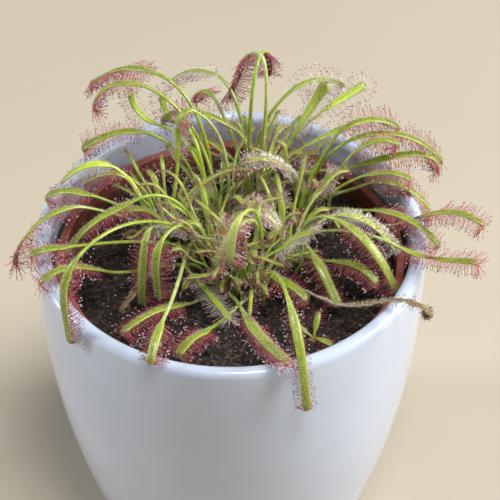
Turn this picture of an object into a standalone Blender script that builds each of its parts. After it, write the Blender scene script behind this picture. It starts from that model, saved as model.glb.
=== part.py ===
"""Potted sundew: strap leaves with sticky tentacles, rooted in peat in a plastic nursery pot,
which stands inside a glazed ceramic pot.

Run with: blender --background --python part.py
Metres, +Z up. The origin is the middle of the ceramic pot's flat base, and the front is -Y.
"""
import math
from collections import namedtuple

import bmesh
import bpy
from mathutils import Matrix, Vector, kdtree

MM = 0.001
UP = Vector((0, 0, 1))

# Ceramic pot
POT_BASE_RADIUS = 41.8 * MM
POT_TOP_RADIUS = 60 * MM
POT_CURVE = 2.2
POT_FLOOR = 5 * MM
FOOT_ROUND = 1.2 * MM
LIP_TUBE = 2.4 * MM
LIP_HEIGHT = 110.6 * MM
LIP_MIDDLE = POT_TOP_RADIUS - LIP_TUBE
POT_WALL = 2 * LIP_TUBE
POT_STEPS = 36

# Nursery pot
SEAT_GAP = 0.3 * MM
NURSERY_BASE = POT_FLOOR + SEAT_GAP
NURSERY_BASE_RADIUS = 37 * MM
NURSERY_RIM_RADIUS = 53.7 * MM
NURSERY_RIM_TOP = 104.3 * MM
NURSERY_BAND = 7 * MM
NURSERY_BAND_WALL = 2.6 * MM
NURSERY_BODY_RADIUS = 52.3 * MM
NURSERY_WALL = 1.4 * MM
NURSERY_FLOOR = 1.6 * MM
NURSERY_STEPS = 28
DRAIN_COUNT = 6
DRAIN_RADIUS = 3 * MM
DRAIN_RING = 24 * MM
DRAIN_SIDES = 10

# Peat
SOIL_TOP = 97 * MM
SOIL_BASE = NURSERY_BASE + NURSERY_FLOOR + SEAT_GAP
SOIL_RELIEF = 0.7 * MM
SOIL_RINGS = 4
HOLE_RADIUS = 1.25 * MM
HOLE_DEPTH = 5.3 * MM
HOLE_SPACING = 2.9 * MM

# Stalks, which leave the peat upright and bend over towards the knee
STALK_HALF_WIDTH = 0.6 * MM
STALK_HALF_THICKNESS = 0.48 * MM
SMALL_STALK = 0.75
STALK_SPAN = 10 * MM
FEWEST_SPANS = 2
STALK_RISE = 0.3
KNEE_PULL = 0.35
ROOT_DEPTH = 5 * MM

# Blades, which widen from the stalk and narrow again to a blunt tip
BLADE_HALF_THICKNESS = 0.4 * MM
KEEL_HALF_WIDTH = 0.35 * MM
BLADE_PULL = 0.4
WIDENS_OVER = 0.25
NARROWS_FROM = 0.8
TIP_NARROWING = 0.65

# Where stalks leave the peat: a rosette's spiral round each crown
SPOT_SPACING = 1.85 * MM
FIRST_SPOT = 3
SPARE_SPOTS = 6
GOLDEN_ANGLE = 137.508
WISHED_RING = 2.5 * MM

# Hearts: each crown's middle, a short stem with small leaves
HUB_RADIUS = 1.25 * MM
HUB_HEIGHT = 0.8 * MM
HUB_HOLE_RADIUS = 1.65 * MM
HUB_STALK_RING = 0.45 * MM
HUB_ROOT = 2 * MM
FUSED_HEIGHT = 9 * MM
HEART_COUNT = 5
HEART_REACH, HEART_REACH_STEP = 8, 2.5
HEART_RISE, HEART_RISE_STEP, HEART_RISE_SPREAD = 23, -3, 2
HEART_LIFT, HEART_DIP_STEP = 65, -15
HEART_KNEE_OUT, HEART_KNEE_UP = 0.4, 0.6
HEART_BLADE_WIDTH = 1.9

# Tentacles
TENTACLE_ROWS = 5
TENTACLE_FOOT = 0.5 * MM
TENTACLE_TRIES = (1, 0.7, 0.45)
SLANTS = (12, -14, 30)
FIRST_ROW = 0.75
ROW_ROOM = 0.4
SWAY_AHEAD = 0.1
SWAY, SWAY_TURN = 0.25, 2.4
LEAN, LEAN_TURN = 0.35, 2.1

# Room kept round leaves
BODY_GAP = 0.5 * MM
TENTACLE_GAP = 0.35 * MM
POT_GAP = 0.5 * MM
STALK_BALL = 0.7 * MM
BLADE_BALL = 0.45 * MM
TENTACLE_BALL = 0.15 * MM
BALL_STEP = 1 * MM
TENTACLE_BALL_STEP = 0.5 * MM
ROOTED_BALLS = 3

# Bends that may clear a leaf of its neighbours: turns in degrees and raises in millimetres, and their costs
TURNS = (0, 2, -2, 4, -4, 6, -6, 9, -9, 12, -12)
RAISES = (0, 1.5, -1.5, 3, 4.5)
TURN_COST, RAISE_COST = 0.5, 1.5

# Plan places of the rosettes' crowns and of one seedling, in millimetres
ROSETTES = {1: (7, -9), 2: (-6, 4), 3: (17, 4), 4: (-4, 22),
            5: (8, 33), 6: (23, 23), 7: (-20, 12), 8: (-2, -8)}
SEEDLING = {9: (25, -30)}
CROWNS = ROSETTES | SEEDLING

Kind = namedtuple("Kind", "colour roughness tentacle rows")
KINDS = {
    "mature": Kind((0.27, 0.34, 0.06), 0.5, 4.6 * MM, TENTACLE_ROWS),
    "young": Kind((0.42, 0.52, 0.10), 0.45, 4.2 * MM, TENTACLE_ROWS),
    "pale": Kind((0.50, 0.54, 0.30), 0.55, 3.2 * MM, TENTACLE_ROWS),
    "dead": Kind((0.26, 0.17, 0.08), 0.8, 2 * MM, 3),
    "small": Kind((0.48, 0.55, 0.22), 0.5, 2.4 * MM, 2),
}

# Knee and tip are measured from the crown, outwards and above the peat, in millimetres.
# Heading turns anticlockwise from +X. Lift and dip are the slopes at the knee and at the tip, in degrees.
Leaf = namedtuple("Leaf", "name crown heading knee_out knee_up lift tip_out tip_up dip width kind")
LEAVES = [Leaf(*row) for row in (
    ("arch_back_left", 4, 144, 22, 50, 0, 50, 34, -45, 2.8, "mature"),
    ("arch_far_left", 5, 132, 20, 40, -15, 41, 25, -50, 2.4, "mature"),
    ("arch_mid_left", 4, 165, 22, 51, 20, 40, 39, -85, 2.4, "mature"),
    ("strap_left", 4, 182, 21, 38, 25, 42, 33, -35, 3.0, "mature"),
    ("young_left", 4, 156, 20, 34, 0, 29, 43, 90, 2.8, "young"),
    ("young_hook", 4, 138, 17, 32, -40, 23, 39, 100, 2.6, "young"),
    ("hairy_arch", 5, 192, 5, 23, 60, 30, 28, -65, 2.8, "mature"),
    ("hairy_arch_low", 5, 181, 8, 18, 50, 21, 28, 10, 2.6, "mature"),
    ("pale_left", 7, 180, 15, 32, 40, 31, 28, -50, 3.0, "young"),
    ("small_left", 7, 162, 12, 25, 25, 27, 19, -40, 2.2, "mature"),
    ("low_left", 7, 190, 22, 24, 30, 37, 26, -40, 2.6, "mature"),
    ("long_left", 2, 195, 22, 32, -15, 46, 14, -65, 3.0, "mature"),
    ("thin_left", 7, 204, 27, 26, 30, 50, 12, -85, 2.4, "mature"),
    ("rim_left", 2, 198, 44, 21, 10, 57, 22, -20, 2.4, "mature"),
    ("hang_left", 2, 228, 55, 42, -20, 62, 11, -90, 2.8, "mature"),
    ("fringe_left", 2, 210, 37, 14, 40, 58, 20, -30, 2.4, "mature"),
    ("hang_front_left", 7, 257, 19, 24, 30, 31, 4, -90, 2.4, "mature"),
    ("hang_front", 2, 234, 25, 31, -10, 30, 9, -90, 2.6, "mature"),
    ("bright_left", 4, 216, 20, 12, 50, 36, 26, 15, 3.2, "mature"),
    ("rim_front_left", 2, 255, 51, 24, 10, 65, 20, -35, 2.6, "mature"),
    ("low_front_left", 1, 240, 25, 6, 25, 44, 12, -5, 2.6, "mature"),
    ("strap_front", 8, 287, 17, 4, 15, 62, 25, 30, 3.2, "mature"),
    ("low_strap", 7, 296, 17, 4, 15, 44, 9, 5, 1.8, "young"),
    ("hang_rim_front", 1, 286, 34, 31, -10, 56, 4, -75, 2.8, "mature"),
    ("strap_front_right", 3, 300, 14, 17, -10, 31, 8, -35, 3.0, "mature"),
    ("long_right", 3, 324, 18, 28, 5, 41, 11, -60, 3.0, "mature"),
    ("pale_right", 3, 342, 15, 24, 35, 35, 16, -60, 3.0, "pale"),
    ("far_right", 3, 336, 36, 21, -15, 61, 24, 15, 2.4, "mature"),
    ("low_right", 3, 318, 18, 12, 30, 36, 15, -40, 2.6, "mature"),
    ("withered_right", 1, 333, 31, 11, 20, 61, 21, -30, 1.8, "dead"),
    ("rim_right", 6, 324, 25, 18, 30, 50, 17, -40, 2.4, "mature"),
    ("reach_right", 6, 326, 33, 14, 40, 61, 27, -20, 2.2, "mature"),
    ("slim_right", 6, 345, 18, 23, 35, 33, 26, -20, 2.2, "mature"),
    ("droop_right", 6, 350, 19, 18, 35, 40, 8, -80, 2.4, "mature"),
    ("arch_low_right", 6, 2, 14, 22, 25, 42, 21, -85, 2.8, "mature"),
    ("arch_right", 6, 8, 12, 31, 35, 44, 20, -60, 2.4, "mature"),
    ("arch_high_right", 6, 18, 10, 33, 55, 31, 31, -50, 2.6, "mature"),
    ("small_right", 6, 350, 14, 29, 60, 29, 36, -30, 2.2, "mature"),
    ("young_back", 5, 10, 11, 24, 65, 21, 44, 60, 3.0, "young"),
    ("young_back_right", 5, 24, 22, 29, 30, 36, 35, 20, 2.4, "young"),
    ("thin_arch_back", 5, 34, 12, 39, 25, 34, 32, -40, 2.2, "mature"),
    ("near_left", 1, 220, 2, 31, 30, 15, 21, -65, 3.0, "mature"),
    ("near_right", 1, 240, 7, 33, 5, 15, 20, -75, 2.4, "mature"),
    ("tall_back_left", 5, 120, 2, 59, -40, 17, 32, -60, 2.8, "mature"),
    ("tall_back", 5, 76, 7, 55, -25, 16, 40, -85, 2.4, "mature"),
    ("arch_behind", 5, 132, 20, 30, 40, 30, 24, -70, 2.4, "mature"),
    ("curl_left", 4, 200, 8, 49, 40, 13, 45, -90, 2.6, "mature"),
    ("withered_left", 2, 222, 20, 13, -5, 35, 4, -40, 2.2, "dead"),
)]
# Inner leaves, fused with the small ones of their crown's heart
INNER_LEAVES = [Leaf(*row) for row in (
    ("crozier", 4, 178, 1, 10, 80, 6, 13, -40, 2.4, "pale"),
    ("fuzzy_left", 2, 198, 5, 14, 40, 16, 20, 10, 2.4, "pale"),
    ("fuzzy_centre", 6, 205, 3, 19, 60, 20, 33, 0, 3.0, "pale"),
    ("young_fat", 6, 310, 3, 12, 60, 11, 26, 55, 3.2, "young"),
    ("upright_left", 7, 60, 7, 28, 85, 8, 41, 85, 1.8, "young"),
    ("small_behind", 5, 55, 11, 20, 60, 16, 20, -60, 2.4, "pale"),
    ("rising_right", 1, 340, 6, 18, 45, 18, 31, 30, 3.6, "young"),
    ("short_front", 1, 324, 5, 12, 5, 20, 10, -30, 2.8, "mature"),
    ("fuzzy_strap", 3, 178, 1, 9, 80, 8, 24, 50, 3.2, "pale"),
    ("short_front_left", 8, 222, 14, 3, 30, 40, 9, -10, 2.4, "mature"),
    ("thin_back_right", 5, 18, 15, 18, 25, 28, 23, 20, 1.8, "young"),
    ("seed_front", 9, 318, 1.5, 1.8, 20, 6, 3, -10, 2.2, "small"),
    ("seed_left", 9, 160, 1.5, 2, 40, 5.5, 5, 20, 1.9, "small"),
    ("seed_back", 9, 75, 1.5, 2, 50, 5, 5.5, 30, 1.9, "small"),
)]
# Blades that turn edge-on to the front, in degrees at the tip
ROLLS = {"thin_left": 60, "thin_arch_back": 50}


def clear_scene():
    """Remove what the file opened with."""
    for obj in list(bpy.data.objects):
        bpy.data.objects.remove(obj, do_unlink=True)


def new_collection(name):
    """A collection linked to the scene."""
    collection = bpy.data.collections.new(name)
    bpy.context.scene.collection.children.link(collection)
    return collection


def new_material(name, colour, roughness):
    """A plain non-metallic Principled material."""
    material = bpy.data.materials.new(name)
    material.use_nodes = True
    shader = material.node_tree.nodes["Principled BSDF"]
    shader.inputs["Base Color"].default_value = (*colour, 1)
    shader.inputs["Roughness"].default_value = roughness
    shader.inputs["Metallic"].default_value = 0
    return material


def new_object(name, mesh, collection):
    """An object for a mesh, linked to a collection."""
    obj = bpy.data.objects.new(name, mesh)
    collection.objects.link(obj)
    return obj


def turned(name, profile, steps, collection):
    """A solid turned about Z from (radius, height) points that start and end on the axis."""
    bm = bmesh.new()
    points = [bm.verts.new((radius, 0, height)) for radius, height in profile]
    for start, end in zip(points, points[1:]):
        bm.edges.new((start, end))
    mesh = bpy.data.meshes.new(name)
    bm.to_mesh(mesh)
    bm.free()
    obj = new_object(name, mesh, collection)
    screw = obj.modifiers.new("Turn", "SCREW")
    screw.steps = steps
    screw.render_steps = steps
    screw.use_merge_vertices = True
    screw.merge_threshold = 0.01 * MM
    screw.use_smooth_shade = True
    return obj


def pot_radius(height):
    """Outer radius of the ceramic pot's wall, which curves in towards the base."""
    below_lip = max(0, 1 - height / LIP_HEIGHT)
    return POT_TOP_RADIUS - (POT_TOP_RADIUS - POT_BASE_RADIUS) * below_lip ** POT_CURVE


def make_outer_pot(collection):
    """Glazed ceramic pot with a rounded lip and a flat base."""
    heights = [LIP_HEIGHT * part / 6 for part in range(1, 6)]
    inside = [(0, POT_FLOOR), (pot_radius(POT_FLOOR) - POT_WALL - FOOT_ROUND, POT_FLOOR)]
    inside.append((pot_radius(POT_FLOOR + FOOT_ROUND) - POT_WALL, POT_FLOOR + FOOT_ROUND))
    inside += [(pot_radius(height) - POT_WALL, height) for height in heights[1::2]]
    lip = []
    for part in range(7):
        angle = math.radians(180 - 30 * part)
        lip.append((LIP_MIDDLE + LIP_TUBE * math.cos(angle), LIP_HEIGHT + LIP_TUBE * math.sin(angle)))
    outside = [(pot_radius(height), height) for height in reversed(heights)]
    outside += [(pot_radius(FOOT_ROUND), FOOT_ROUND), (POT_BASE_RADIUS - FOOT_ROUND, 0), (0, 0)]
    pot = turned("outer_pot", inside + lip + outside, POT_STEPS, collection)
    pot.data.materials.append(new_material("glazed_ceramic", (0.66, 0.70, 0.74), 0.22))


def nursery_radius(height):
    """Outer radius of the nursery pot's wall below its rim band."""
    part = (height - NURSERY_BASE) / (NURSERY_RIM_TOP - NURSERY_BAND - NURSERY_BASE)
    return NURSERY_BASE_RADIUS + (NURSERY_BODY_RADIUS - NURSERY_BASE_RADIUS) * part


def make_nursery_pot(collection, cutters):
    """Plastic grow pot with a thick rim band and drain holes in its floor."""
    floor = NURSERY_BASE + NURSERY_FLOOR
    band_base = NURSERY_RIM_TOP - NURSERY_BAND
    rim_inner = NURSERY_RIM_RADIUS - NURSERY_BAND_WALL
    edge = NURSERY_BAND_WALL / 4
    profile = [
        (0, floor),
        (nursery_radius(floor) - NURSERY_WALL, floor),
        (nursery_radius(band_base) - NURSERY_WALL, band_base),
        (rim_inner, NURSERY_RIM_TOP - edge),
        (rim_inner + edge, NURSERY_RIM_TOP),
        (NURSERY_RIM_RADIUS - edge, NURSERY_RIM_TOP),
        (NURSERY_RIM_RADIUS, NURSERY_RIM_TOP - edge),
        (NURSERY_RIM_RADIUS, band_base),
        (nursery_radius(band_base), band_base - edge),
        (NURSERY_BASE_RADIUS + edge, NURSERY_BASE + 2 * edge),
        (NURSERY_BASE_RADIUS - edge, NURSERY_BASE),
        (0, NURSERY_BASE),
    ]
    pot = turned("nursery_pot", profile, NURSERY_STEPS, collection)
    pot.data.materials.append(new_material("terracotta_plastic", (0.33, 0.13, 0.09), 0.45))
    drains = []
    for number in range(DRAIN_COUNT):
        angle = math.tau * number / DRAIN_COUNT
        drains.append(Vector((DRAIN_RING * math.cos(angle), DRAIN_RING * math.sin(angle), NURSERY_BASE)))
    pegs = upright_pegs("drain_holes", drains, DRAIN_RADIUS, -NURSERY_FLOOR, 2 * NURSERY_FLOOR,
                        DRAIN_SIDES, cutters)
    cut(pot, pegs)


def upright_pegs(name, places, radius, low, high, sides, collection):
    """Upright pegs, one at each place from low to high above it, for cutting holes."""
    bm = bmesh.new()
    for place in places:
        middle = Matrix.Translation(place + UP * (low + high) / 2)
        bmesh.ops.create_cone(bm, cap_ends=True, segments=sides, radius1=radius, radius2=radius,
                              depth=high - low, matrix=middle)
    mesh = bpy.data.meshes.new(name)
    bm.to_mesh(mesh)
    bm.free()
    pegs = new_object(name, mesh, collection)
    pegs.hide_render = True
    pegs.display_type = "WIRE"
    return pegs


def cut(obj, cutter):
    """Subtract a cutter from an object."""
    boolean = obj.modifiers.new("Cut", "BOOLEAN")
    boolean.operation = "DIFFERENCE"
    boolean.object = cutter


def soil_height(x, y):
    """Height of the peat's gently uneven top."""
    waves = math.sin(x / (9 * MM) + 1) * math.cos(y / (11 * MM)) + math.sin((x + y) / (15 * MM))
    return SOIL_TOP + SOIL_RELIEF * waves / 2


def make_soil(holes, collection, cutters):
    """Peat that fills the nursery pot, with a plain hole for each stalk and each heart."""
    top_radius = nursery_radius(SOIL_TOP) - NURSERY_WALL - SEAT_GAP
    base_radius = nursery_radius(SOIL_BASE) - NURSERY_WALL - SEAT_GAP
    rings = [top_radius * part / SOIL_RINGS for part in range(SOIL_RINGS)]
    profile = [(radius, SOIL_TOP) for radius in rings]
    profile += [(top_radius - SEAT_GAP, SOIL_TOP - SOIL_RELIEF), (base_radius, SOIL_BASE), (0, SOIL_BASE)]
    blank = turned("peat_blank", profile, NURSERY_STEPS, cutters)
    evaluated = blank.evaluated_get(bpy.context.evaluated_depsgraph_get())
    mesh = bpy.data.meshes.new_from_object(evaluated)
    bpy.data.objects.remove(blank, do_unlink=True)
    for vertex in mesh.vertices:
        if vertex.co.z > SOIL_TOP - SOIL_RELIEF / 2:
            vertex.co.z = soil_height(vertex.co.x, vertex.co.y)
    mesh.name = "soil"
    soil = new_object("soil", mesh, collection)
    mesh.materials.append(new_material("peat", (0.035, 0.022, 0.018), 0.95))
    for name, radius, sides in (("stalk_holes", HOLE_RADIUS, 5), ("heart_holes", HUB_HOLE_RADIUS, 6)):
        cut(soil, upright_pegs(name, holes[name], radius, -HOLE_DEPTH, HOLE_DEPTH, sides, cutters))


def curve_point(curve, part):
    """Point on a cubic Bezier curve."""
    start, leave, arrive, end = curve
    rest = 1 - part
    return (start * rest ** 3 + leave * (3 * part * rest ** 2)
            + arrive * (3 * part ** 2 * rest) + end * part ** 3)


def curve_slope(curve, part):
    """Unit direction of a cubic Bezier curve."""
    start, leave, arrive, end = curve
    rest = 1 - part
    return ((leave - start) * rest ** 2 + (arrive - leave) * (2 * part * rest)
            + (end - arrive) * part ** 2).normalized()


def leaf_curves(leaf, spot, turn, lift_by):
    """The stalk's curve from the peat to the knee, and the blade's from the knee to the tip."""
    heading = math.radians(leaf.heading + turn)
    out = Vector((math.cos(heading), math.sin(heading), 0))
    crown = Vector((*CROWNS[leaf.crown], 0)) * MM + UP * SOIL_TOP
    knee = crown + (out * leaf.knee_out + UP * (leaf.knee_up + lift_by)) * MM
    tip = crown + (out * leaf.tip_out + UP * (leaf.tip_up + lift_by)) * MM
    lift = out * math.cos(math.radians(leaf.lift)) + UP * math.sin(math.radians(leaf.lift))
    dip = out * math.cos(math.radians(leaf.dip)) + UP * math.sin(math.radians(leaf.dip))
    rise = (knee - spot).length
    reach = (tip - knee).length
    stalk = (spot, spot + UP * STALK_RISE * rise, knee - lift * KNEE_PULL * rise, knee)
    blade = (knee, knee + lift * BLADE_PULL * reach, tip - dip * BLADE_PULL * reach, tip)
    return stalk, blade, Vector((-out.y, out.x, 0))


def blade_half_width(leaf, part):
    """Half width along the blade: it widens from the stalk and rounds off at the tip."""
    full = leaf.width * MM / 2
    widen = min(1, part / WIDENS_OVER)
    widen = widen * widen * (3 - 2 * widen)
    narrow = 1 - TIP_NARROWING * max(0, (part - NARROWS_FROM) / (1 - NARROWS_FROM)) ** 2
    return (STALK_HALF_WIDTH + (full - STALK_HALF_WIDTH) * widen) * narrow


def cross_frame(across, along, roll):
    """Directions across and out of the upper face, square to the direction along the leaf."""
    across = (across - along * across.dot(along)).normalized()
    across = Matrix.Rotation(roll, 3, along) @ across
    return across, along.cross(across)


def leaf_stations(leaf, curves):
    """Stations as (place, across, upper, half width, half thickness), and where its tentacle rows are."""
    stalk, blade, level = curves
    stations = []

    def add_station(place, along, half_width, half_thickness, roll):
        across, upper = cross_frame(level, along, roll)
        stations.append((place, across, upper, half_width, half_thickness))

    hearted = leaf.kind == "small" or leaf in INNER_LEAVES
    slim = SMALL_STALK if leaf.kind == "small" else 1
    root = UP * (HUB_ROOT if hearted else ROOT_DEPTH)
    add_station(stalk[0] - root, UP, STALK_HALF_WIDTH * slim, STALK_HALF_THICKNESS * slim, 0)
    joints = max(FEWEST_SPANS, round((stalk[3] - stalk[0]).length / STALK_SPAN))
    for number in range(joints):
        part = number / joints
        add_station(curve_point(stalk, part), curve_slope(stalk, part),
                    STALK_HALF_WIDTH * slim, STALK_HALF_THICKNESS * slim, 0)
    rows = KINDS[leaf.kind].rows
    half_foot = TENTACLE_FOOT / 2 / (blade[3] - blade[0]).length
    middles = [(row + FIRST_ROW) / (rows + ROW_ROOM) for row in range(rows)]
    roll = math.radians(ROLLS.get(leaf.name, 0))
    for part in [0] + [middle + side for middle in middles for side in (-half_foot, half_foot)] + [1]:
        add_station(curve_point(blade, part), curve_slope(blade, part),
                    blade_half_width(leaf, part), BLADE_HALF_THICKNESS, roll * part)
    return stations, [joints + 2 + 2 * row for row in range(rows)]


def body_balls(stations):
    """Balls that fill a leaf between its stations, as (place, radius), from the peat to the tip."""
    balls = []
    for low, high in zip(stations[1:], stations[2:]):
        count = math.ceil((high[0] - low[0]).length / BALL_STEP)
        for number in range(count):
            part = (number + 0.5) / count
            middle = low[0].lerp(high[0], part)
            half_width = low[3] + (high[3] - low[3]) * part
            if half_width < STALK_BALL:
                balls.append((middle, STALK_BALL))
            else:
                edge = low[1] * (half_width - BLADE_BALL / 2)
                balls += [(middle + edge * place, BLADE_BALL) for place in (-1, -0.5, 0, 0.5, 1)]
    return balls


def gap_to_pots(place):
    """Gap from a point to the pots' rims and walls and to the peat, negative inside the peat."""
    reach = math.hypot(place.x, place.y)
    gap = math.hypot(reach - LIP_MIDDLE, place.z - LIP_HEIGHT) - LIP_TUBE
    if place.z < LIP_HEIGHT:
        outer = pot_radius(place.z)
        gap = min(gap, max(reach - outer, outer - POT_WALL - reach))
    beside_band = max(NURSERY_RIM_RADIUS - NURSERY_BAND_WALL - reach, reach - NURSERY_RIM_RADIUS, 0)
    gap = min(gap, math.hypot(beside_band, max(place.z - NURSERY_RIM_TOP, 0)))
    if reach < NURSERY_RIM_RADIUS:
        gap = min(gap, place.z - soil_height(place.x, place.y))
    return gap


class Crowd:
    """Balls that fill what is in place, each with the number of the leaf that owns it."""

    def __init__(self):
        self.balls = []
        self.tree = kdtree.KDTree(1)
        self.tree.balance()

    def add(self, owner, balls):
        """Put one leaf's balls in place."""
        self.balls += [(place, radius, owner) for place, radius in balls]
        self.tree = kdtree.KDTree(len(self.balls))
        for index, (place, _, _) in enumerate(self.balls):
            self.tree.insert(place, index)
        self.tree.balance()

    def touches(self, place, radius, gap, ignored=None):
        """Whether a ball comes nearer than the gap to a ball of any owner but the ignored one."""
        for _, index, distance in self.tree.find_range(place, radius + gap + STALK_BALL):
            _, other, owner = self.balls[index]
            if owner != ignored and distance < radius + gap + other:
                return True
        return False


def on_peat(crown, radius, angle):
    """A place on the peat's top at a radius and an angle from a crown's middle."""
    x = CROWNS[crown][0] * MM + radius * math.cos(angle)
    y = CROWNS[crown][1] * MM + radius * math.sin(angle)
    return Vector((x, y, soil_height(x, y)))


def crown_spots(crown, count):
    """Spots where a crown's stalks leave the peat, in the spiral that a rosette grows in."""
    spots = []
    for number in range(count):
        ring = SPOT_SPACING * math.sqrt(number + FIRST_SPOT)
        spots.append(on_peat(crown, ring, math.radians(number * GOLDEN_ANGLE)))
    return spots


def heart_spots(leaf):
    """The one spot in a crown's heart where an inner leaf leaves the short stem."""
    return [on_peat(leaf.crown, HUB_STALK_RING, math.radians(leaf.heading)) + UP * HUB_HEIGHT]


def heart_leaves(crown):
    """Small leaves round a crown's middle, in the rosette's spiral, the outer ones longer and lower."""
    leaves = []
    for number in range(HEART_COUNT):
        out = HEART_REACH + HEART_REACH_STEP * number
        up = HEART_RISE + HEART_RISE_STEP * number + HEART_RISE_SPREAD * (crown % 3)
        heading = GOLDEN_ANGLE * (number + 2 * crown)
        leaves.append(Leaf("small", crown, heading, HEART_KNEE_OUT * out, HEART_KNEE_UP * up, HEART_LIFT,
                           out, up, HEART_DIP_STEP * number, HEART_BLADE_WIDTH, "small"))
    return leaves


def is_clear(crowd, balls, node):
    """Whether a leaf clears the other leaves, the pots and the peat. One node's leaves may fuse low down."""
    for number, (place, radius) in enumerate(balls):
        if number >= ROOTED_BALLS and gap_to_pots(place) < radius + POT_GAP:
            return False
        fused = place.z < SOIL_TOP + FUSED_HEIGHT
        if crowd.touches(place, radius, BODY_GAP, node if fused else None):
            return False
    return True


def place_leaf(leaf, spots, crowd, node):
    """The nearest free spot and least bend at which a leaf clears all leaves in place, if there is one."""
    wish = on_peat(leaf.crown, WISHED_RING, math.radians(leaf.heading))
    choices = []
    for number, spot in enumerate(spots):
        away = (spot.xy - wish.xy).length / MM
        for turn in TURNS:
            for raised in RAISES:
                cost = away + abs(turn) * TURN_COST + abs(raised) * RAISE_COST
                choices.append((cost, number, turn, raised))
    for _, number, turn, raised in sorted(choices):
        stations, rows = leaf_stations(leaf, leaf_curves(leaf, spots[number], turn, raised))
        balls = body_balls(stations)
        if is_clear(crowd, balls, node):
            crowd.add(node, balls)
            return spots[number], stations, rows
    return None


def heart_name(crown):
    """The node of a crown's heart."""
    return "heart_%d" % crown


def plan_leaves():
    """Place every leaf in turn. Gives each node's leaves, the holes for their stalks and the crowd."""
    crowd = Crowd()
    nodes = {}
    holes = {"stalk_holes": [], "heart_holes": [on_peat(crown, 0, 0) for crown in CROWNS]}
    for crown in CROWNS:
        crowd.add(heart_name(crown), [(on_peat(crown, 0, 0), HUB_RADIUS)])

    def plan(node, leaf, spots):
        placed = place_leaf(leaf, spots, crowd, node)
        if placed:
            nodes.setdefault(node, []).append((leaf, placed[1], placed[2]))
        return placed

    for leaf in INNER_LEAVES:
        if not plan(heart_name(leaf.crown), leaf, heart_spots(leaf)):
            raise RuntimeError("no clear place for " + leaf.name)
    for leaf in LEAVES:
        members = sum(other.crown == leaf.crown for other in LEAVES)
        spots = [spot for spot in crown_spots(leaf.crown, members + SPARE_SPOTS)
                 if all((spot - hole).length > HOLE_SPACING for hole in holes["stalk_holes"])]
        placed = plan("leaf_" + leaf.name, leaf, spots)
        if not placed:
            raise RuntimeError("no clear place for " + leaf.name)
        holes["stalk_holes"].append(placed[0])
    for crown in ROSETTES:
        for leaf in heart_leaves(crown):
            plan(heart_name(crown), leaf, heart_spots(leaf))
    return nodes, holes, crowd


def section(station):
    """Five points round a leaf: both margins, the raised middle and both sides of the keel."""
    place, across, upper, half_width, half_thickness = station
    outline = ((half_width, 0), (KEEL_HALF_WIDTH, -half_thickness), (-KEEL_HALF_WIDTH, -half_thickness),
               (-half_width, 0), (0, half_thickness))
    return [place + across * u + upper * v for u, v in outline]


def loft(bm, rings):
    """Faces between unlike rings of points, by span, with both ends closed."""
    loops = [[bm.verts.new(point) for point in ring] for ring in rings]
    spans = []
    for low, high in zip(loops, loops[1:]):
        count = len(low)
        spans.append([bm.faces.new((low[n], low[(n + 1) % count], high[(n + 1) % count], high[n]))
                      for n in range(count)])
    bm.faces.new(reversed(loops[0]))
    end = bm.faces.new(loops[-1])
    return spans, end


def tentacle_balls(foot, aim, length):
    """Balls along a tentacle, from just above its foot to its gland."""
    count = round(length / TENTACLE_BALL_STEP)
    return [(foot + aim * length * number / count, TENTACLE_BALL) for number in range(2, count + 1)]


def tentacle_is_clear(owner, balls, crowd, own):
    """Whether a tentacle clears the pots, the peat, every leaf and the tentacles in place."""
    for number, (place, radius) in enumerate(balls):
        if gap_to_pots(place) < radius + POT_GAP:
            return False
        near_foot = number < len(balls) / 3
        if crowd.touches(place, radius, TENTACLE_GAP, owner if near_foot else None):
            return False
        if any((place - other).length < 2 * radius + TENTACLE_GAP for other, _ in own):
            return False
    return True


def raise_tentacle(bm, face, aim, length, owner, crowd, own):
    """Draw a face out into a tentacle, shorter where it would meet something, or not at all."""
    foot = face.calc_center_median()
    for share in TENTACLE_TRIES:
        balls = tentacle_balls(foot, aim, length * share)
        if tentacle_is_clear(owner, balls, crowd, own):
            own += balls
            peak = bmesh.ops.poke(bm, faces=[face])["verts"][0]
            peak.co = foot + aim * length * share
            return


def leaf_object(name, leaf, stations, rows, crowd, owner, material, collection):
    """One leaf as a solid: rooted stalk, keeled blade and the tentacles raised from it."""
    bm = bmesh.new()
    spans, end = loft(bm, [section(station) for station in stations])
    length = KINDS[leaf.kind].tentacle
    own = []
    raise_tentacle(bm, end, (stations[-1][0] - stations[-2][0]).normalized(), length, owner, crowd, own)
    for row, span in enumerate(rows):
        _, across, upper, _, _ = stations[span]
        along = upper.cross(across)
        slant = math.radians(SLANTS[row % len(SLANTS)])
        sway = along * (SWAY_AHEAD + SWAY * math.sin(SWAY_TURN * row))
        for margin, face in ((1, spans[span][0]), (-1, spans[span][2])):
            aim = across * margin * math.cos(slant) - upper * math.sin(slant) + sway
            raise_tentacle(bm, face, aim.normalized(), length, owner, crowd, own)
        lean = across * LEAN * math.cos(LEAN_TURN * row)
        raise_tentacle(bm, spans[span][1], (lean + sway - upper).normalized(), length, owner, crowd, own)
    crowd.add(owner, own)
    bmesh.ops.recalc_face_normals(bm, faces=bm.faces)
    mesh = bpy.data.meshes.new(name)
    bm.to_mesh(mesh)
    bm.free()
    mesh.materials.append(material)
    return new_object(name, mesh, collection)


def hub_object(crown, material, collection):
    """The short stem in the peat that a heart's leaves grow from."""
    bm = bmesh.new()
    middle = on_peat(crown, 0, 0) + UP * (HUB_HEIGHT - ROOT_DEPTH) / 2
    bmesh.ops.create_cone(bm, cap_ends=True, segments=6, radius1=HUB_RADIUS, radius2=HUB_RADIUS,
                          depth=HUB_HEIGHT + ROOT_DEPTH, matrix=Matrix.Translation(middle))
    mesh = bpy.data.meshes.new(heart_name(crown))
    bm.to_mesh(mesh)
    bm.free()
    mesh.materials.append(material)
    return new_object(heart_name(crown), mesh, collection)


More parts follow.
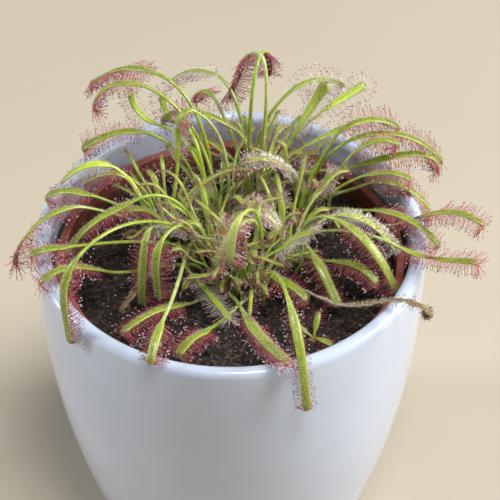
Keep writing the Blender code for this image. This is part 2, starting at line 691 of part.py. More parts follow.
def fuse(obj, joined):
    """Join a collection's solids to an object in one union, and remove them."""
    union = obj.modifiers.new("Fuse", "BOOLEAN")
    union.operation = "UNION"
    union.operand_type = "COLLECTION"
    union.collection = joined
    evaluated = obj.evaluated_get(bpy.context.evaluated_depsgraph_get())
    mesh = bpy.data.meshes.new_from_object(evaluated)
    obj.modifiers.clear()
    obj.data = mesh
    for piece in list(joined.objects):
        bpy.data.objects.remove(piece, do_unlink=True)
    bpy.data.collections.remove(joined)


def make_leaves(nodes, crowd, collection):
    """Every leaf as a node of its own, and each heart with its inner leaves as one."""
    materials = {kind: new_material("leaf_" + kind, look.colour, look.roughness)
                 for kind, look in KINDS.items()}
    for leaf in LEAVES:
        node = "leaf_" + leaf.name
        _, stations, rows = nodes[node][0]
        leaf_object(node, leaf, stations, rows, crowd, node, materials[leaf.kind], collection)
    for crown in CROWNS:
        heart = hub_object(crown, materials["small"], collection)
        grown = new_collection("grown")
        for number, (leaf, stations, rows) in enumerate(nodes[heart_name(crown)]):
            leaf_object("grown_%d" % number, leaf, stations, rows, crowd, heart_name(crown),
                        materials["small"], grown)
        fuse(heart, grown)


def main():
    """Build the potted plant."""
    clear_scene()
    parts = new_collection("potted_sundew")
    cutters = new_collection("cutters")
    nodes, holes, crowd = plan_leaves()
    make_outer_pot(parts)
    make_nursery_pot(parts, cutters)
    make_soil(holes, parts, cutters)
    make_leaves(nodes, crowd, parts)


main()
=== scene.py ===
"""Looks of a potted sundew: hairy strap leaves with fringes of sticky tentacles, peat, a plastic nursery pot
and a glazed outer pot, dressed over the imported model. Metres, +Z up, and the front is -Y."""

import math
import random
from collections import namedtuple

import bmesh
import bpy
from bpy.props import FloatProperty, FloatVectorProperty, IntProperty, PointerProperty
from bpy.types import Operator, Panel, PropertyGroup
from mathutils import Matrix, Vector, kdtree, noise


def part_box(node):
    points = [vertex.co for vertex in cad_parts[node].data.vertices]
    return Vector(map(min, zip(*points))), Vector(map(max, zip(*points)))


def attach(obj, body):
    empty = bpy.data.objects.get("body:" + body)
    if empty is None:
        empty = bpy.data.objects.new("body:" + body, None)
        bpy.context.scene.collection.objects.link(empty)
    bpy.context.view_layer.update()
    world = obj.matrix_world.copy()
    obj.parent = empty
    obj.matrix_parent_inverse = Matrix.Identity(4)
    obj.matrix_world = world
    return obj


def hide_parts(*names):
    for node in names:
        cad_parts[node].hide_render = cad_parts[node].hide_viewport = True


bl_info = {
    "name": "Potted sundew",
    "version": (1, 0, 0),
    "blender": (4, 5, 0),
    "location": "3D View > Sidebar > Sundew",
    "description": "Dresses the packed model of a potted sundew",
    "category": "Object",
}

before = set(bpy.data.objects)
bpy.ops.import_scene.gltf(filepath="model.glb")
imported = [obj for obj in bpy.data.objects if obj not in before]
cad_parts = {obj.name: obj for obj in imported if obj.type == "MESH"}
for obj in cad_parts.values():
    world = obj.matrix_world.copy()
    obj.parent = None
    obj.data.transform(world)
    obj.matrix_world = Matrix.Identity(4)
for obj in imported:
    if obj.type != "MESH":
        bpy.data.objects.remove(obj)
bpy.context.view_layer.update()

MM = 0.001
UP = Vector((0, 0, 1))

# Ceramic pot
POT_TOP_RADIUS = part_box("outer_pot")[1].x
LIP_TUBE = 2.4 * MM
LIP_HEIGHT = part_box("outer_pot")[1].z - LIP_TUBE
LIP_MIDDLE = POT_TOP_RADIUS - LIP_TUBE
POT_BASE_RADIUS = 41.8 * MM
POT_CURVE = 2.2
POT_FLOOR = 5 * MM
POT_WALL = 2 * LIP_TUBE
FOOT_ROUND = 1.2 * MM
POT_STEPS = 144
WALL_RINGS = 30
INNER_CORNER = 3 * MM
CORNER_POINTS = 6
LIP_POINTS = 18

# Nursery pot
NURSERY_BASE, NURSERY_RIM_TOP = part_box("nursery_pot")[0].z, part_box("nursery_pot")[1].z
NURSERY_RIM_RADIUS = 53.7 * MM
NURSERY_BASE_RADIUS = 37 * MM
NURSERY_BAND = 7 * MM
NURSERY_BAND_WALL = 2.6 * MM
NURSERY_BODY_RADIUS = 52.3 * MM
NURSERY_WALL = 1.4 * MM
NURSERY_FLOOR = 1.6 * MM
NURSERY_STEPS = 128
DRAIN_COUNT = 6
DRAIN_RADIUS = 3 * MM
DRAIN_RING = 24 * MM
DRAIN_SIDES = 24
DRILL_LENGTH = 4 * NURSERY_FLOOR
RIM_ROUND = 0.5 * MM
RIM_POINTS, EDGE_POINTS = 5, 4
SHARP_ANGLE = 50

# Peat
SOIL_TOP = 97 * MM
SOIL_RELIEF = 0.7 * MM
SEAT_GAP = 0.3 * MM
SOIL_BASE = NURSERY_BASE + NURSERY_FLOOR + SEAT_GAP
BED_RINGS = 84
BED_STEPS = 184
BED_EDGE = 2 * MM
BED_SINK = 0.15 * MM
# Lumps of the bed, as (width, height in millimetres), and its sharper crumble
BED_LUMPS = ((6 * MM, 0.8), (2.3 * MM, 0.7))
BED_CRUMBLE = (1.1 * MM, 0.5)

# Loose bits on the peat. The logarithms of crumbs' and grains' sizes have a middle and a spread
PEAT_SEED = 11
LUMP_COUNT = 5
LUMP_RELIEF, LUMP_RATE, LUMP_SHIFT = 0.45, 1.7, 7
CRUMB_SIZES, LARGEST_CRUMB = (-0.25, 0.6), 3
CRUMB_DEPTHS, CRUMB_HEIGHTS = (0.7, 1.2), (0.5, 0.9)
GRAIN_SIZES, LARGEST_GRAIN = (-1.75, 0.5), 1.0
GRAIN_LIFT = 0.6
FIBRE_BENDS = (25, 70, 130)
FIBRE_STEPS = 5
FIBRE_FOOT = 0.09 * MM
FIBRE_LENGTH = 7 * MM
FIBRE_END = 0.5
FIBRE_SIZES = (0.3, 1.15)
FIBRE_RISE, FIBRE_DROOP = (-0.05, 0.35), -0.3
FIBRE_LIFT = 0.25 * MM

# Stalks, which leave the peat upright and bend over towards the knee
STALK_HALF_WIDTH = 0.6 * MM
STALK_HALF_THICKNESS = 0.48 * MM
SMALL_STALK = 0.75
STALK_SPAN = 10 * MM
FEWEST_SPANS = 2
STALK_RISE = 0.3
KNEE_PULL = 0.35
ROOT_DEPTH = 5 * MM

# Blades, which widen from the stalk and narrow again to a blunt tip
BLADE_PULL = 0.4
WIDENS_OVER = 0.25
NARROWS_FROM = 0.8
TIP_NARROWING = 0.65
TENTACLE_FOOT = 0.5 * MM
FIRST_ROW = 0.75
ROW_ROOM = 0.4

# Where stalks leave the peat: a rosette's spiral round each crown
SPOT_SPACING = 1.85 * MM
FIRST_SPOT = 3
SPARE_SPOTS = 6
GOLDEN_ANGLE = 137.508
WISHED_RING = 2.5 * MM
HOLE_SPACING = 2.9 * MM

# Hearts: each crown's middle, a short stem with small leaves
HUB_RADIUS = 1.25 * MM
HUB_HEIGHT = 0.8 * MM
HUB_STALK_RING = 0.45 * MM
HUB_ROOT = 2 * MM
HUB_SIDES = 14
HUB_TAPER = 0.8
HUB_BEVEL = 0.4 * MM
FUSED_HEIGHT = 9 * MM
HEART_COUNT = 5
HEART_REACH, HEART_REACH_STEP = 8, 2.5
HEART_RISE, HEART_RISE_STEP, HEART_RISE_SPREAD = 23, -3, 2
HEART_LIFT, HEART_DIP_STEP = 65, -15
HEART_KNEE_OUT, HEART_KNEE_UP = 0.4, 0.6
HEART_BLADE_WIDTH = 1.9

# Room kept round leaves
BODY_GAP = 0.5 * MM
POT_GAP = 0.5 * MM
STALK_BALL = 0.7 * MM
BLADE_BALL = 0.45 * MM
BALL_STEP = 1 * MM
ROOTED_BALLS = 3
TURNS = (0, 2, -2, 4, -4, 6, -6, 9, -9, 12, -12)
RAISES = (0, 1.5, -1.5, 3, 4.5)
TURN_COST, RAISE_COST = 0.5, 1.5

# Plan places of the rosettes' crowns and of one seedling, in millimetres
ROSETTES = {1: (7, -9), 2: (-6, 4), 3: (17, 4), 4: (-4, 22),
            5: (8, 33), 6: (23, 23), 7: (-20, 12), 8: (-2, -8)}
SEEDLING = {9: (25, -30)}
CROWNS = ROSETTES | SEEDLING

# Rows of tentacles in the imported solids, whose places the leaves' bends were worked out with
ROWS = {"mature": 5, "young": 5, "pale": 5, "dead": 3, "small": 2}

# Knee and tip are measured from the crown, outwards and above the peat, in millimetres.
# Heading turns anticlockwise from +X. Lift and dip are the slopes at the knee and at the tip, in degrees.
Leaf = namedtuple("Leaf", "name crown heading knee_out knee_up lift tip_out tip_up dip width kind")
LEAVES = [Leaf(*row) for row in (
    ("arch_back_left", 4, 144, 22, 50, 0, 50, 34, -45, 2.8, "mature"),
    ("arch_far_left", 5, 132, 20, 40, -15, 41, 25, -50, 2.4, "mature"),
    ("arch_mid_left", 4, 165, 22, 51, 20, 40, 39, -85, 2.4, "mature"),
    ("strap_left", 4, 182, 21, 38, 25, 42, 33, -35, 3.0, "mature"),
    ("young_left", 4, 156, 20, 34, 0, 29, 43, 90, 2.8, "young"),
    ("young_hook", 4, 138, 17, 32, -40, 23, 39, 100, 2.6, "young"),
    ("hairy_arch", 5, 192, 5, 23, 60, 30, 28, -65, 2.8, "mature"),
    ("hairy_arch_low", 5, 181, 8, 18, 50, 21, 28, 10, 2.6, "mature"),
    ("pale_left", 7, 180, 15, 32, 40, 31, 28, -50, 3.0, "young"),
    ("small_left", 7, 162, 12, 25, 25, 27, 19, -40, 2.2, "mature"),
    ("low_left", 7, 190, 22, 24, 30, 37, 26, -40, 2.6, "mature"),
    ("long_left", 2, 195, 22, 32, -15, 46, 14, -65, 3.0, "mature"),
    ("thin_left", 7, 204, 27, 26, 30, 50, 12, -85, 2.4, "mature"),
    ("rim_left", 2, 198, 44, 21, 10, 57, 22, -20, 2.4, "mature"),
    ("hang_left", 2, 228, 55, 42, -20, 62, 11, -90, 2.8, "mature"),
    ("fringe_left", 2, 210, 37, 14, 40, 58, 20, -30, 2.4, "mature"),
    ("hang_front_left", 7, 257, 19, 24, 30, 31, 4, -90, 2.4, "mature"),
    ("hang_front", 2, 234, 25, 31, -10, 30, 9, -90, 2.6, "mature"),
    ("bright_left", 4, 216, 20, 12, 50, 36, 26, 15, 3.2, "mature"),
    ("rim_front_left", 2, 255, 51, 24, 10, 65, 20, -35, 2.6, "mature"),
    ("low_front_left", 1, 240, 25, 6, 25, 44, 12, -5, 2.6, "mature"),
    ("strap_front", 8, 287, 17, 4, 15, 62, 25, 30, 3.2, "mature"),
    ("low_strap", 7, 296, 17, 4, 15, 44, 9, 5, 1.8, "young"),
    ("hang_rim_front", 1, 286, 34, 31, -10, 56, 4, -75, 2.8, "mature"),
    ("strap_front_right", 3, 300, 14, 17, -10, 31, 8, -35, 3.0, "mature"),
    ("long_right", 3, 324, 18, 28, 5, 41, 11, -60, 3.0, "mature"),
    ("pale_right", 3, 342, 15, 24, 35, 35, 16, -60, 3.0, "pale"),
    ("far_right", 3, 336, 36, 21, -15, 61, 24, 15, 2.4, "mature"),
    ("low_right", 3, 318, 18, 12, 30, 36, 15, -40, 2.6, "mature"),
    ("withered_right", 1, 333, 31, 11, 20, 61, 21, -30, 1.8, "dead"),
    ("rim_right", 6, 324, 25, 18, 30, 50, 17, -40, 2.4, "mature"),
    ("reach_right", 6, 326, 33, 14, 40, 61, 27, -20, 2.2, "mature"),
    ("slim_right", 6, 345, 18, 23, 35, 33, 26, -20, 2.2, "mature"),
    ("droop_right", 6, 350, 19, 18, 35, 40, 8, -80, 2.4, "mature"),
    ("arch_low_right", 6, 2, 14, 22, 25, 42, 21, -85, 2.8, "mature"),
    ("arch_right", 6, 8, 12, 31, 35, 44, 20, -60, 2.4, "mature"),
    ("arch_high_right", 6, 18, 10, 33, 55, 31, 31, -50, 2.6, "mature"),
    ("small_right", 6, 350, 14, 29, 60, 29, 36, -30, 2.2, "mature"),
    ("young_back", 5, 10, 11, 24, 65, 21, 44, 60, 3.0, "young"),
    ("young_back_right", 5, 24, 22, 29, 30, 36, 35, 20, 2.4, "young"),
    ("thin_arch_back", 5, 34, 12, 39, 25, 34, 32, -40, 2.2, "mature"),
    ("near_left", 1, 220, 2, 31, 30, 15, 21, -65, 3.0, "mature"),
    ("near_right", 1, 240, 7, 33, 5, 15, 20, -75, 2.4, "mature"),
    ("tall_back_left", 5, 120, 2, 59, -40, 17, 32, -60, 2.8, "mature"),
    ("tall_back", 5, 76, 7, 55, -25, 16, 40, -85, 2.4, "mature"),
    ("arch_behind", 5, 132, 20, 30, 40, 30, 24, -70, 2.4, "mature"),
    ("curl_left", 4, 200, 8, 49, 40, 13, 45, -90, 2.6, "mature"),
    ("withered_left", 2, 222, 20, 13, -5, 35, 4, -40, 2.2, "dead"),
)]
# Inner leaves, in one node with the small ones of their crown's heart
INNER_LEAVES = [Leaf(*row) for row in (
    ("crozier", 4, 178, 1, 10, 80, 6, 13, -40, 2.4, "pale"),
    ("fuzzy_left", 2, 198, 5, 14, 40, 16, 20, 10, 2.4, "pale"),
    ("fuzzy_centre", 6, 205, 3, 19, 60, 20, 33, 0, 3.0, "pale"),
    ("young_fat", 6, 310, 3, 12, 60, 11, 26, 55, 3.2, "young"),
    ("upright_left", 7, 60, 7, 28, 85, 8, 41, 85, 1.8, "young"),
    ("small_behind", 5, 55, 11, 20, 60, 16, 20, -60, 2.4, "pale"),
    ("rising_right", 1, 340, 6, 18, 45, 18, 31, 30, 3.6, "young"),
    ("short_front", 1, 324, 5, 12, 5, 20, 10, -30, 2.8, "mature"),
    ("fuzzy_strap", 3, 178, 1, 9, 80, 8, 24, 50, 3.2, "pale"),
    ("short_front_left", 8, 222, 14, 3, 30, 40, 9, -10, 2.4, "mature"),
    ("thin_back_right", 5, 18, 15, 18, 25, 28, 23, 20, 1.8, "young"),
    ("seed_front", 9, 318, 1.5, 1.8, 20, 6, 3, -10, 2.2, "small"),
    ("seed_left", 9, 160, 1.5, 2, 40, 5.5, 5, 20, 1.9, "small"),
    ("seed_back", 9, 75, 1.5, 2, 50, 5, 5.5, 30, 1.9, "small"),
)]
# Blades that turn edge-on to the front, in degrees at the tip
ROLLS = {"thin_left": 60, "thin_arch_back": 50}
# Blades that turn their broad side to the front, which their solids' stiff ones don't
TURNED = {"young_fat": 65, "near_left": 15, "young_back": 40, "young_back_right": 28}
# Blades that are slimmer or broader than their solids
BREADTHS = {"thin_arch_back": 0.72, "young_back": 1.1, "young_back_right": 1.08, "near_right": 1.2}
# Blades with a slim crimson neck, and where along them it is
WAISTS = {"far_right": 0.42, "reach_right": 0.2}
NECK_LENGTH = 0.1
NECK_SQUEEZE = 0.58

# Fine leaf surface
STALK_RING = 1.5 * MM
BLADE_RING = 1.15 * MM
ROUND_POINTS = 12
SMALL_ROUND_POINTS = 8
ROUNDED_END = 0.07
END_RINGS = 5
FOOT_SWELL, STALK_TAPER = 0.12, 0.06
FINE_HALF_THICKNESS = 0.3 * MM
FINE_NARROWING = 0.2
FLATTENS_OVER = 0.12
STRAP_ROUNDING = 0.55
MARGIN_SAG = 0.16
MIDRIB_GROOVE = 0.09 * MM
KEEL_BUMP = 0.1 * MM
MIDRIB_WIDTH = 0.3
WAVE, WAVE_RATE = 0.05, 9
TWIST, TWIST_RATE, TWISTS_FROM = 7, 5, 0.25
MERGE_GAP = 0.0005 * MM

# How much young blades broaden towards the tip, and where they are as broad as their solids
SPOON, SPOON_MIDDLE = 0.55, 0.6

# Ends of blades that curl under, in degrees, and by how much the curl shortens the blade
CURL_LENGTH = 2.4 * MM
LONGEST_CURL = 0.5
CURL_SHORTENING = 0.35
CURLS = {"mature": (35, 125), "young": (0, 25), "pale": (30, 80), "dead": (310, 340), "small": (0, 40)}

# Dry leaves: a rolled knob at the end, ragged margins and a skin crumpled by (width, depth) above the peat
KNOB_LENGTH = 7 * MM
KNOB_SWELL = 1.6
RAGGED, RAGGED_RATES = 0.3, (31, 17)
CRUMPLES = ((1.5 * MM, 0.65 * MM), (0.5 * MM, 0.28 * MM))
CRUMPLED_ABOVE = SOIL_TOP + 2 * MM
CRUMPLE_SEED = 7
DRY_LIFT = {"withered_right": 3 * MM}

# Names of what a leaf's mesh carries: a map along and round it, its own tint and its crimson neck
LEAF_MAP = "LeafMap"
TINT = "tint"
NECK = "neck"
# Leaves that are paler or deeper than their neighbours, from 0 to 1, where that isn't drawn
TINTS = {"near_left": 0.3, "near_right": 0.3, "long_right": 0.6, "strap_left": 0, "arch_back_left": 0.2,
         "far_right": 0.7, "strap_front": 0.7, "bright_left": 0.5, "long_left": 0.4, "arch_low_right": 0,
         "arch_right": 0.05, "arch_high_right": 0.1, "thin_arch_back": 0, "low_left": 0.1, "small_left": 0,
         "hairy_arch": 0, "hairy_arch_low": 0}

# Kinds of leaf in the order of their materials, with the slot that a leaf of each kind fills
SLOTS = {"mature": "leaf_mature", "young": "leaf_young", "pale": "leaf_pale", "dead": "leaf_dead",
         "small": "leaf_pale"}
KIND_ORDER = tuple(SLOTS)
# Fringes in the order of their materials, and the fringe of each kind of leaf
FRINGE_ORDER = ("red", "clear", "brown", "pink")
FRINGE_OF = {"mature": "red", "young": "clear", "pale": "pink", "dead": "brown", "small": "red"}

# How far a leaf's tentacles are tucked in under it, in degrees, where that isn't drawn. Minus raises them
TUCKS = {"strap_front": 42, "hang_rim_front": 32, "hang_left": 64, "long_right": 40, "strap_front_right": 40,
         "bright_left": 30, "hang_front": 25, "hang_front_left": 25, "low_right": 20, "arch_back_left": 18,
         "tall_back": 30, "tall_back_left": 30, "rim_front_left": 34, "long_left": 22, "pale_right": 25,
         "withered_right": 0, "withered_left": 0, "far_right": -6, "near_left": -30, "near_right": -30,
         "hairy_arch": -62, "hairy_arch_low": -62, "strap_left": -10, "arch_high_right": -22,
         "arch_right": -15}
TUCK_RANGE = (-10, 12)

# Thin young leaves that crowd round each crown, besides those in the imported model. One of them is downy
FILLERS = 17
DOWNY_FILLER = 12
FILLER_TRIES = 16
FILLER_OUT, FILLER_KNEE_OUT = (4, 24), (0.4, 0.6)
FILLER_UP, FILLER_KNEE_UP = (10, 33), (0.6, 0.85)
FILLER_LIFT = (32, 68)
FILLER_BEND = (0, 75)
FILLER_WIDTH = (0.9, 1.45)
FILLER_RING = (0.9, 6)
FILLER_SWAY = 40
FILLER_BALL = 0.35 * MM

# Tentacles: stalks of three sides in a few bends, glands and drops of dew
STALK_FOOT = 0.1 * MM
STALK_NECK = 0.62
SHAPE_LENGTH = 4.6 * MM
LONG_STALK = 3.6 * MM
LONG_STEPS, SHORT_STEPS = 3, 2
BENDS = (-8, 6, 18, 34)
GLAND_SIDES, GLAND_RINGS, GLAND_STRETCH = 4, 2, 1.5
DROP_STRETCH = 1.15
DROP_LIFT = 0.06 * MM
GLAND_SIZES, DROP_SIZES = (0.85, 1.15), (0.8, 1.2)
STALK_LEAN, STALK_SWAY = 1.2, 0.5
TENTACLE_TRIES = (1, 0.7, 0.45)
PROBES = (0.45, 0.75, 1)
PROBE_RADIUS = 0.15 * MM

# Rows of tentacles on either side of a blade. Slants are in degrees under the blade. A leaf's tuck adds to
# them, the less the nearer they are to the inmost one
Row = namedtuple("Row", "out least_slant most_slant share sparse")
TENTACLE_ROWS = (Row(0.97, 6, 26, 1.0, 1.0), Row(0.78, 30, 54, 0.8, 1.3), Row(0.34, 60, 96, 0.52, 2.0))
INMOST_SLANT = 96
FRINGE_START, FRINGE_END = 0.07, 0.99
FOOT_SUNK = 0.05 * MM
# How far tentacles lean towards the tip, and how much more so near it
FAN, TIP_FAN, FAN_FROM, FAN_SPREAD = 0.05, 1.1, 0.85, 0.07
DRY_DISORDER = 0.6
# Share of their full length that the first tentacles have, and how fast it grows along the blade
SHORTEST, GROWS_BY = 0.5, 3
ROW_LENGTHS, ROW_GAPS = (0.8, 1.06), (0.8, 1.2)
# Tentacles round the tip
TIP_COUNT, SMALL_TIP_COUNT = 15, 6
TIP_SWING, TIP_SLANT = (-80, 80), (-20, 45)
TIP_INSET = 0.15 * MM
TIP_LENGTHS = (0.85, 1.08)

# Hairs on the back of a blade and on its stalk. Spans are parts of the length
HAIR_FOOT = 0.055
HAIR_SUNK = 0.04 * MM
HAIR_SPAN, HAIR_SIDES, HAIR_SIZES = (0.03, 0.99), (-0.98, 0.98), (0.5, 1.1)
HAIR_LEAN, HAIR_SWAY = 0.15, 0.3
BACK_ROUNDING = 0.3
STALK_HAIR_SHARE = 0.35
STALK_HAIR_SPAN, STALK_HAIR_SIZES = (0.12, 1), (0.4, 1)
STALK_HAIR_INSET, STALK_HAIR_LEAN = 0.9, 0.3

# What grows on each kind of leaf. Spacings and lengths are in millimetres, hairs are counted for each one
Growth = namedtuple("Growth", "length spacing gland dew dew_share hairs hair_length")
GROWTHS = {
    "mature": Growth(4.5, 0.52, 0.165, 0.24, 0.42, 12.0, 0.85),
    "young": Growth(3.8, 0.46, 0.17, 0.2, 0.16, 8.0, 0.9),
    "pale": Growth(3.1, 0.45, 0.12, 0.24, 0.7, 20.0, 2.0),
    "dead": Growth(1.7, 0.36, 0.12, 0, 0, 9.0, 1.2),
    "small": Growth(2.3, 0.75, 0.11, 0.18, 0.4, 5.0, 0.7),
}
# Leaves whose fringes are shorter or longer than those of their kind
FRINGE_REACH = {"hang_rim_front": 0.55, "strap_front": 0.75, "bright_left": 0.8, "seed_front": 1.5,
                "seed_left": 1.4, "seed_back": 1.4, "hairy_arch": 0.75, "hairy_arch_low": 0.75}
# Leaves with white down in place of short hairs
DOWNY = {"fuzzy_strap", "near_left"}
# Mature leaves with a downy leaf's pale skin, and the share of their tentacles that are pink
PALEST = {"near_left", "near_right"}
PINK_SHARE = 0.35
# Mature leaves whose tentacles are still clear
CLEAR_FRINGED = {"thin_arch_back", "arch_far_left"}

# Colours that stay as they are, besides those in the sidebar
IRON_SPECKS = (0.32, 0.31, 0.3)
BARE_CLAY = (0.62, 0.56, 0.48)
PEAT_DUST = (0.05, 0.03, 0.022)
PEAT_STAINS = (0.06, 0.035, 0.025)
SCUFFED_RIM = (0.45, 0.14, 0.1)
DUST_SPECKS = (0.7, 0.55, 0.48)
DRY_PEAT = (0.1, 0.055, 0.037)
PEAT_SPECKS = (0.32, 0.27, 0.22)
DRY_FIBRE = (0.5, 0.38, 0.27)
PALE_GRAIN = (0.62, 0.58, 0.52)
PALE_SKIN = (0.56, 0.68, 0.1)
AGED_SKIN = (0.15, 0.12, 0.02)
# Pale dots on the blades: partly fine hairs and glands, partly painted glints of light on them
PALE_DOTS_AND_GLINTS = (0.85, 0.88, 0.55)
MUDDY_FOOT = (0.3, 0.16, 0.07)
SHORT_HAIR = (0.72, 0.75, 0.5)
WHITE_DOWN = (0.88, 0.78, 0.7)
# Milky whites of the dew drops: painted sparkle in place of the tiny glints of clear drops
DEW_SPARKLE_TINTS = ((0.98, 0.93, 0.93), (0.98, 0.98, 0.96))

# A Mix node's sockets for the factor and two colours, and the one for their mix
MIX_INPUTS, MIX_OUTPUT = (0, 6, 7), 2

# Camera that was fitted to the pots' rims
CAMERA_PLACE = (0.0059, -0.5249, 0.5990)
CAMERA_TILT = 46.8
CAMERA_LENS = 168.3
CAMERA_SENSOR = 36

# Floor and lights. Soft lights look at one place, and have a place, a size and a tint
FLOOR_REACH = 3
LIT_PLACE = Vector((0, 0, 0.1))
KEY_LIGHT = (0.87, 0.0, 0.58), (0.45, 0.45), (1, 0.985, 0.96)
FILL_LIGHT = (-0.86, 0.1, 0.48), (0.12, 0.6), (0.95, 0.97, 1)
WINDOW_DIRECTION = (-0.15, 0.27, -1)
WINDOW_SPREAD = 18
SKY_TINT = (0.95, 0.96, 1, 1)


def pot_radius(height):
    """Outer radius of the ceramic pot's wall, which curves in towards the base."""
    below_lip = max(0, 1 - height / LIP_HEIGHT)
    return POT_TOP_RADIUS - (POT_TOP_RADIUS - POT_BASE_RADIUS) * below_lip ** POT_CURVE


def nursery_radius(height):
    """Outer radius of the nursery pot's wall below its rim band."""
    part = (height - NURSERY_BASE) / (NURSERY_RIM_TOP - NURSERY_BAND - NURSERY_BASE)
    return NURSERY_BASE_RADIUS + (NURSERY_BODY_RADIUS - NURSERY_BASE_RADIUS) * part


def soil_height(x, y):
    """Height of the peat's gently uneven top."""
    waves = math.sin(x / (9 * MM) + 1) * math.cos(y / (11 * MM)) + math.sin((x + y) / (15 * MM))
    return SOIL_TOP + SOIL_RELIEF * waves / 2


def curve_point(curve, part):
    """Point on a cubic Bezier curve."""
    start, leave, arrive, end = curve
    rest = 1 - part
    return (start * rest ** 3 + leave * (3 * part * rest ** 2)
            + arrive * (3 * part ** 2 * rest) + end * part ** 3)


def curve_slope(curve, part):
    """Unit direction of a cubic Bezier curve."""
    start, leave, arrive, end = curve
    rest = 1 - part
    return ((leave - start) * rest ** 2 + (arrive - leave) * (2 * part * rest)
            + (end - arrive) * part ** 2).normalized()


def leaf_curves(leaf, spot, turn, lift_by):
    """The stalk's curve from the peat to the knee, and the blade's from the knee to the tip."""
    heading = math.radians(leaf.heading + turn)
    out = Vector((math.cos(heading), math.sin(heading), 0))
    crown = Vector((*CROWNS[leaf.crown], 0)) * MM + UP * SOIL_TOP
    knee = crown + (out * leaf.knee_out + UP * (leaf.knee_up + lift_by)) * MM
    tip = crown + (out * leaf.tip_out + UP * (leaf.tip_up + lift_by)) * MM
    lift = out * math.cos(math.radians(leaf.lift)) + UP * math.sin(math.radians(leaf.lift))
    dip = out * math.cos(math.radians(leaf.dip)) + UP * math.sin(math.radians(leaf.dip))
    rise = (knee - spot).length
    reach = (tip - knee).length
    stalk = (spot, spot + UP * STALK_RISE * rise, knee - lift * KNEE_PULL * rise, knee)
    blade = (knee, knee + lift * BLADE_PULL * reach, tip - dip * BLADE_PULL * reach, tip)
    return stalk, blade, Vector((-out.y, out.x, 0))


def past(start, part):
    """How far a part is past a start, from 0 there to 1 at the end."""
    return max(0, (part - start) / (1 - start))


def rounding(part, length):
    """How a width shrinks over a rounded end of a length, from 1 before it to 0 at the tip."""
    end = past(1 - length, part)
    return math.sqrt(max(0, 1 - end * end))


def widening(part):
    """How far a blade has widened from its stalk's width, from 0 to 1."""
    widen = min(1, part / WIDENS_OVER)
    return widen * widen * (3 - 2 * widen)


def blade_half_width(leaf, part):
    """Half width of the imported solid's blade: it widens from the stalk and narrows again at the tip."""
    narrow = 1 - TIP_NARROWING * past(NARROWS_FROM, part) ** 2
    return (STALK_HALF_WIDTH + (leaf.width * MM / 2 - STALK_HALF_WIDTH) * widening(part)) * narrow


def cross_frame(across, along, roll):
    """Directions across and out of the upper face, square to the direction along the leaf."""
    across = (across - along * across.dot(along)).normalized()
    across = Matrix.Rotation(roll, 3, along) @ across
    return across, along.cross(across)


def is_hearted(leaf):
    """Whether a leaf grows from its crown's short stem."""
    return leaf.kind == "small" or leaf in INNER_LEAVES


def leaf_stations(leaf, curves):
    """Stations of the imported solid, as (place, across, half width)."""
    stalk, blade, level = curves
    stations = []

    def add_station(place, along, half_width, roll):
        stations.append((place, cross_frame(level, along, roll)[0], half_width))

    slim = SMALL_STALK if leaf.kind == "small" else 1
    root = UP * (HUB_ROOT if is_hearted(leaf) else ROOT_DEPTH)
    add_station(stalk[0] - root, UP, STALK_HALF_WIDTH * slim, 0)
    joints = max(FEWEST_SPANS, round((stalk[3] - stalk[0]).length / STALK_SPAN))
    for number in range(joints):
        part = number / joints
        add_station(curve_point(stalk, part), curve_slope(stalk, part), STALK_HALF_WIDTH * slim, 0)
    rows = ROWS[leaf.kind]
    half_foot = TENTACLE_FOOT / 2 / (blade[3] - blade[0]).length
    middles = [(row + FIRST_ROW) / (rows + ROW_ROOM) for row in range(rows)]
    roll = math.radians(ROLLS.get(leaf.name, 0))
    for part in [0] + [middle + side for middle in middles for side in (-half_foot, half_foot)] + [1]:
        half_width = blade_half_width(leaf, part)
        add_station(curve_point(blade, part), curve_slope(blade, part), half_width, roll * part)
    return stations


def body_balls(stations):
    """Balls that fill a leaf between its stations, as (place, radius), from the peat to the tip."""
    balls = []
    for low, high in zip(stations[1:], stations[2:]):
        count = math.ceil((high[0] - low[0]).length / BALL_STEP)
        for number in range(count):
            part = (number + 0.5) / count
            middle = low[0].lerp(high[0], part)
            half_width = low[2] + (high[2] - low[2]) * part
            if half_width < STALK_BALL:
                balls.append((middle, STALK_BALL))
            else:
                edge = low[1] * (half_width - BLADE_BALL / 2)
                balls += [(middle + edge * place, BLADE_BALL) for place in (-1, -0.5, 0, 0.5, 1)]
    return balls


def gap_to_pots(place):
    """Gap from a point to the pots' rims and walls and to the peat, negative inside the peat."""
    reach = math.hypot(place.x, place.y)
    gap = math.hypot(reach - LIP_MIDDLE, place.z - LIP_HEIGHT) - LIP_TUBE
    if place.z < LIP_HEIGHT:
        outer = pot_radius(place.z)
        gap = min(gap, max(reach - outer, outer - POT_WALL - reach))
    beside_band = max(NURSERY_RIM_RADIUS - NURSERY_BAND_WALL - reach, reach - NURSERY_RIM_RADIUS, 0)
    gap = min(gap, math.hypot(beside_band, max(place.z - NURSERY_RIM_TOP, 0)))
    if reach < NURSERY_RIM_RADIUS:
        gap = min(gap, place.z - soil_height(place.x, place.y))
    return gap


class Crowd:
    """Balls that fill what is in place, each with the name of the node that owns it."""

    def __init__(self):
        self.balls = []
        self.tree = kdtree.KDTree(1)
        self.tree.balance()

    def add(self, owner, balls):
        """Put one leaf's balls in place."""
        self.balls += [(place, radius, owner) for place, radius in balls]
        self.tree = kdtree.KDTree(len(self.balls))
        for index, (place, _, _) in enumerate(self.balls):
            self.tree.insert(place, index)
        self.tree.balance()

    def touches(self, place, radius, gap, ignored=None):
        """Whether a ball comes nearer than the gap to a ball of any owner but the ignored one."""
        for _, index, distance in self.tree.find_range(place, radius + gap + STALK_BALL):
            _, other, owner = self.balls[index]
            if owner != ignored and distance < radius + gap + other:
                return True
        return False


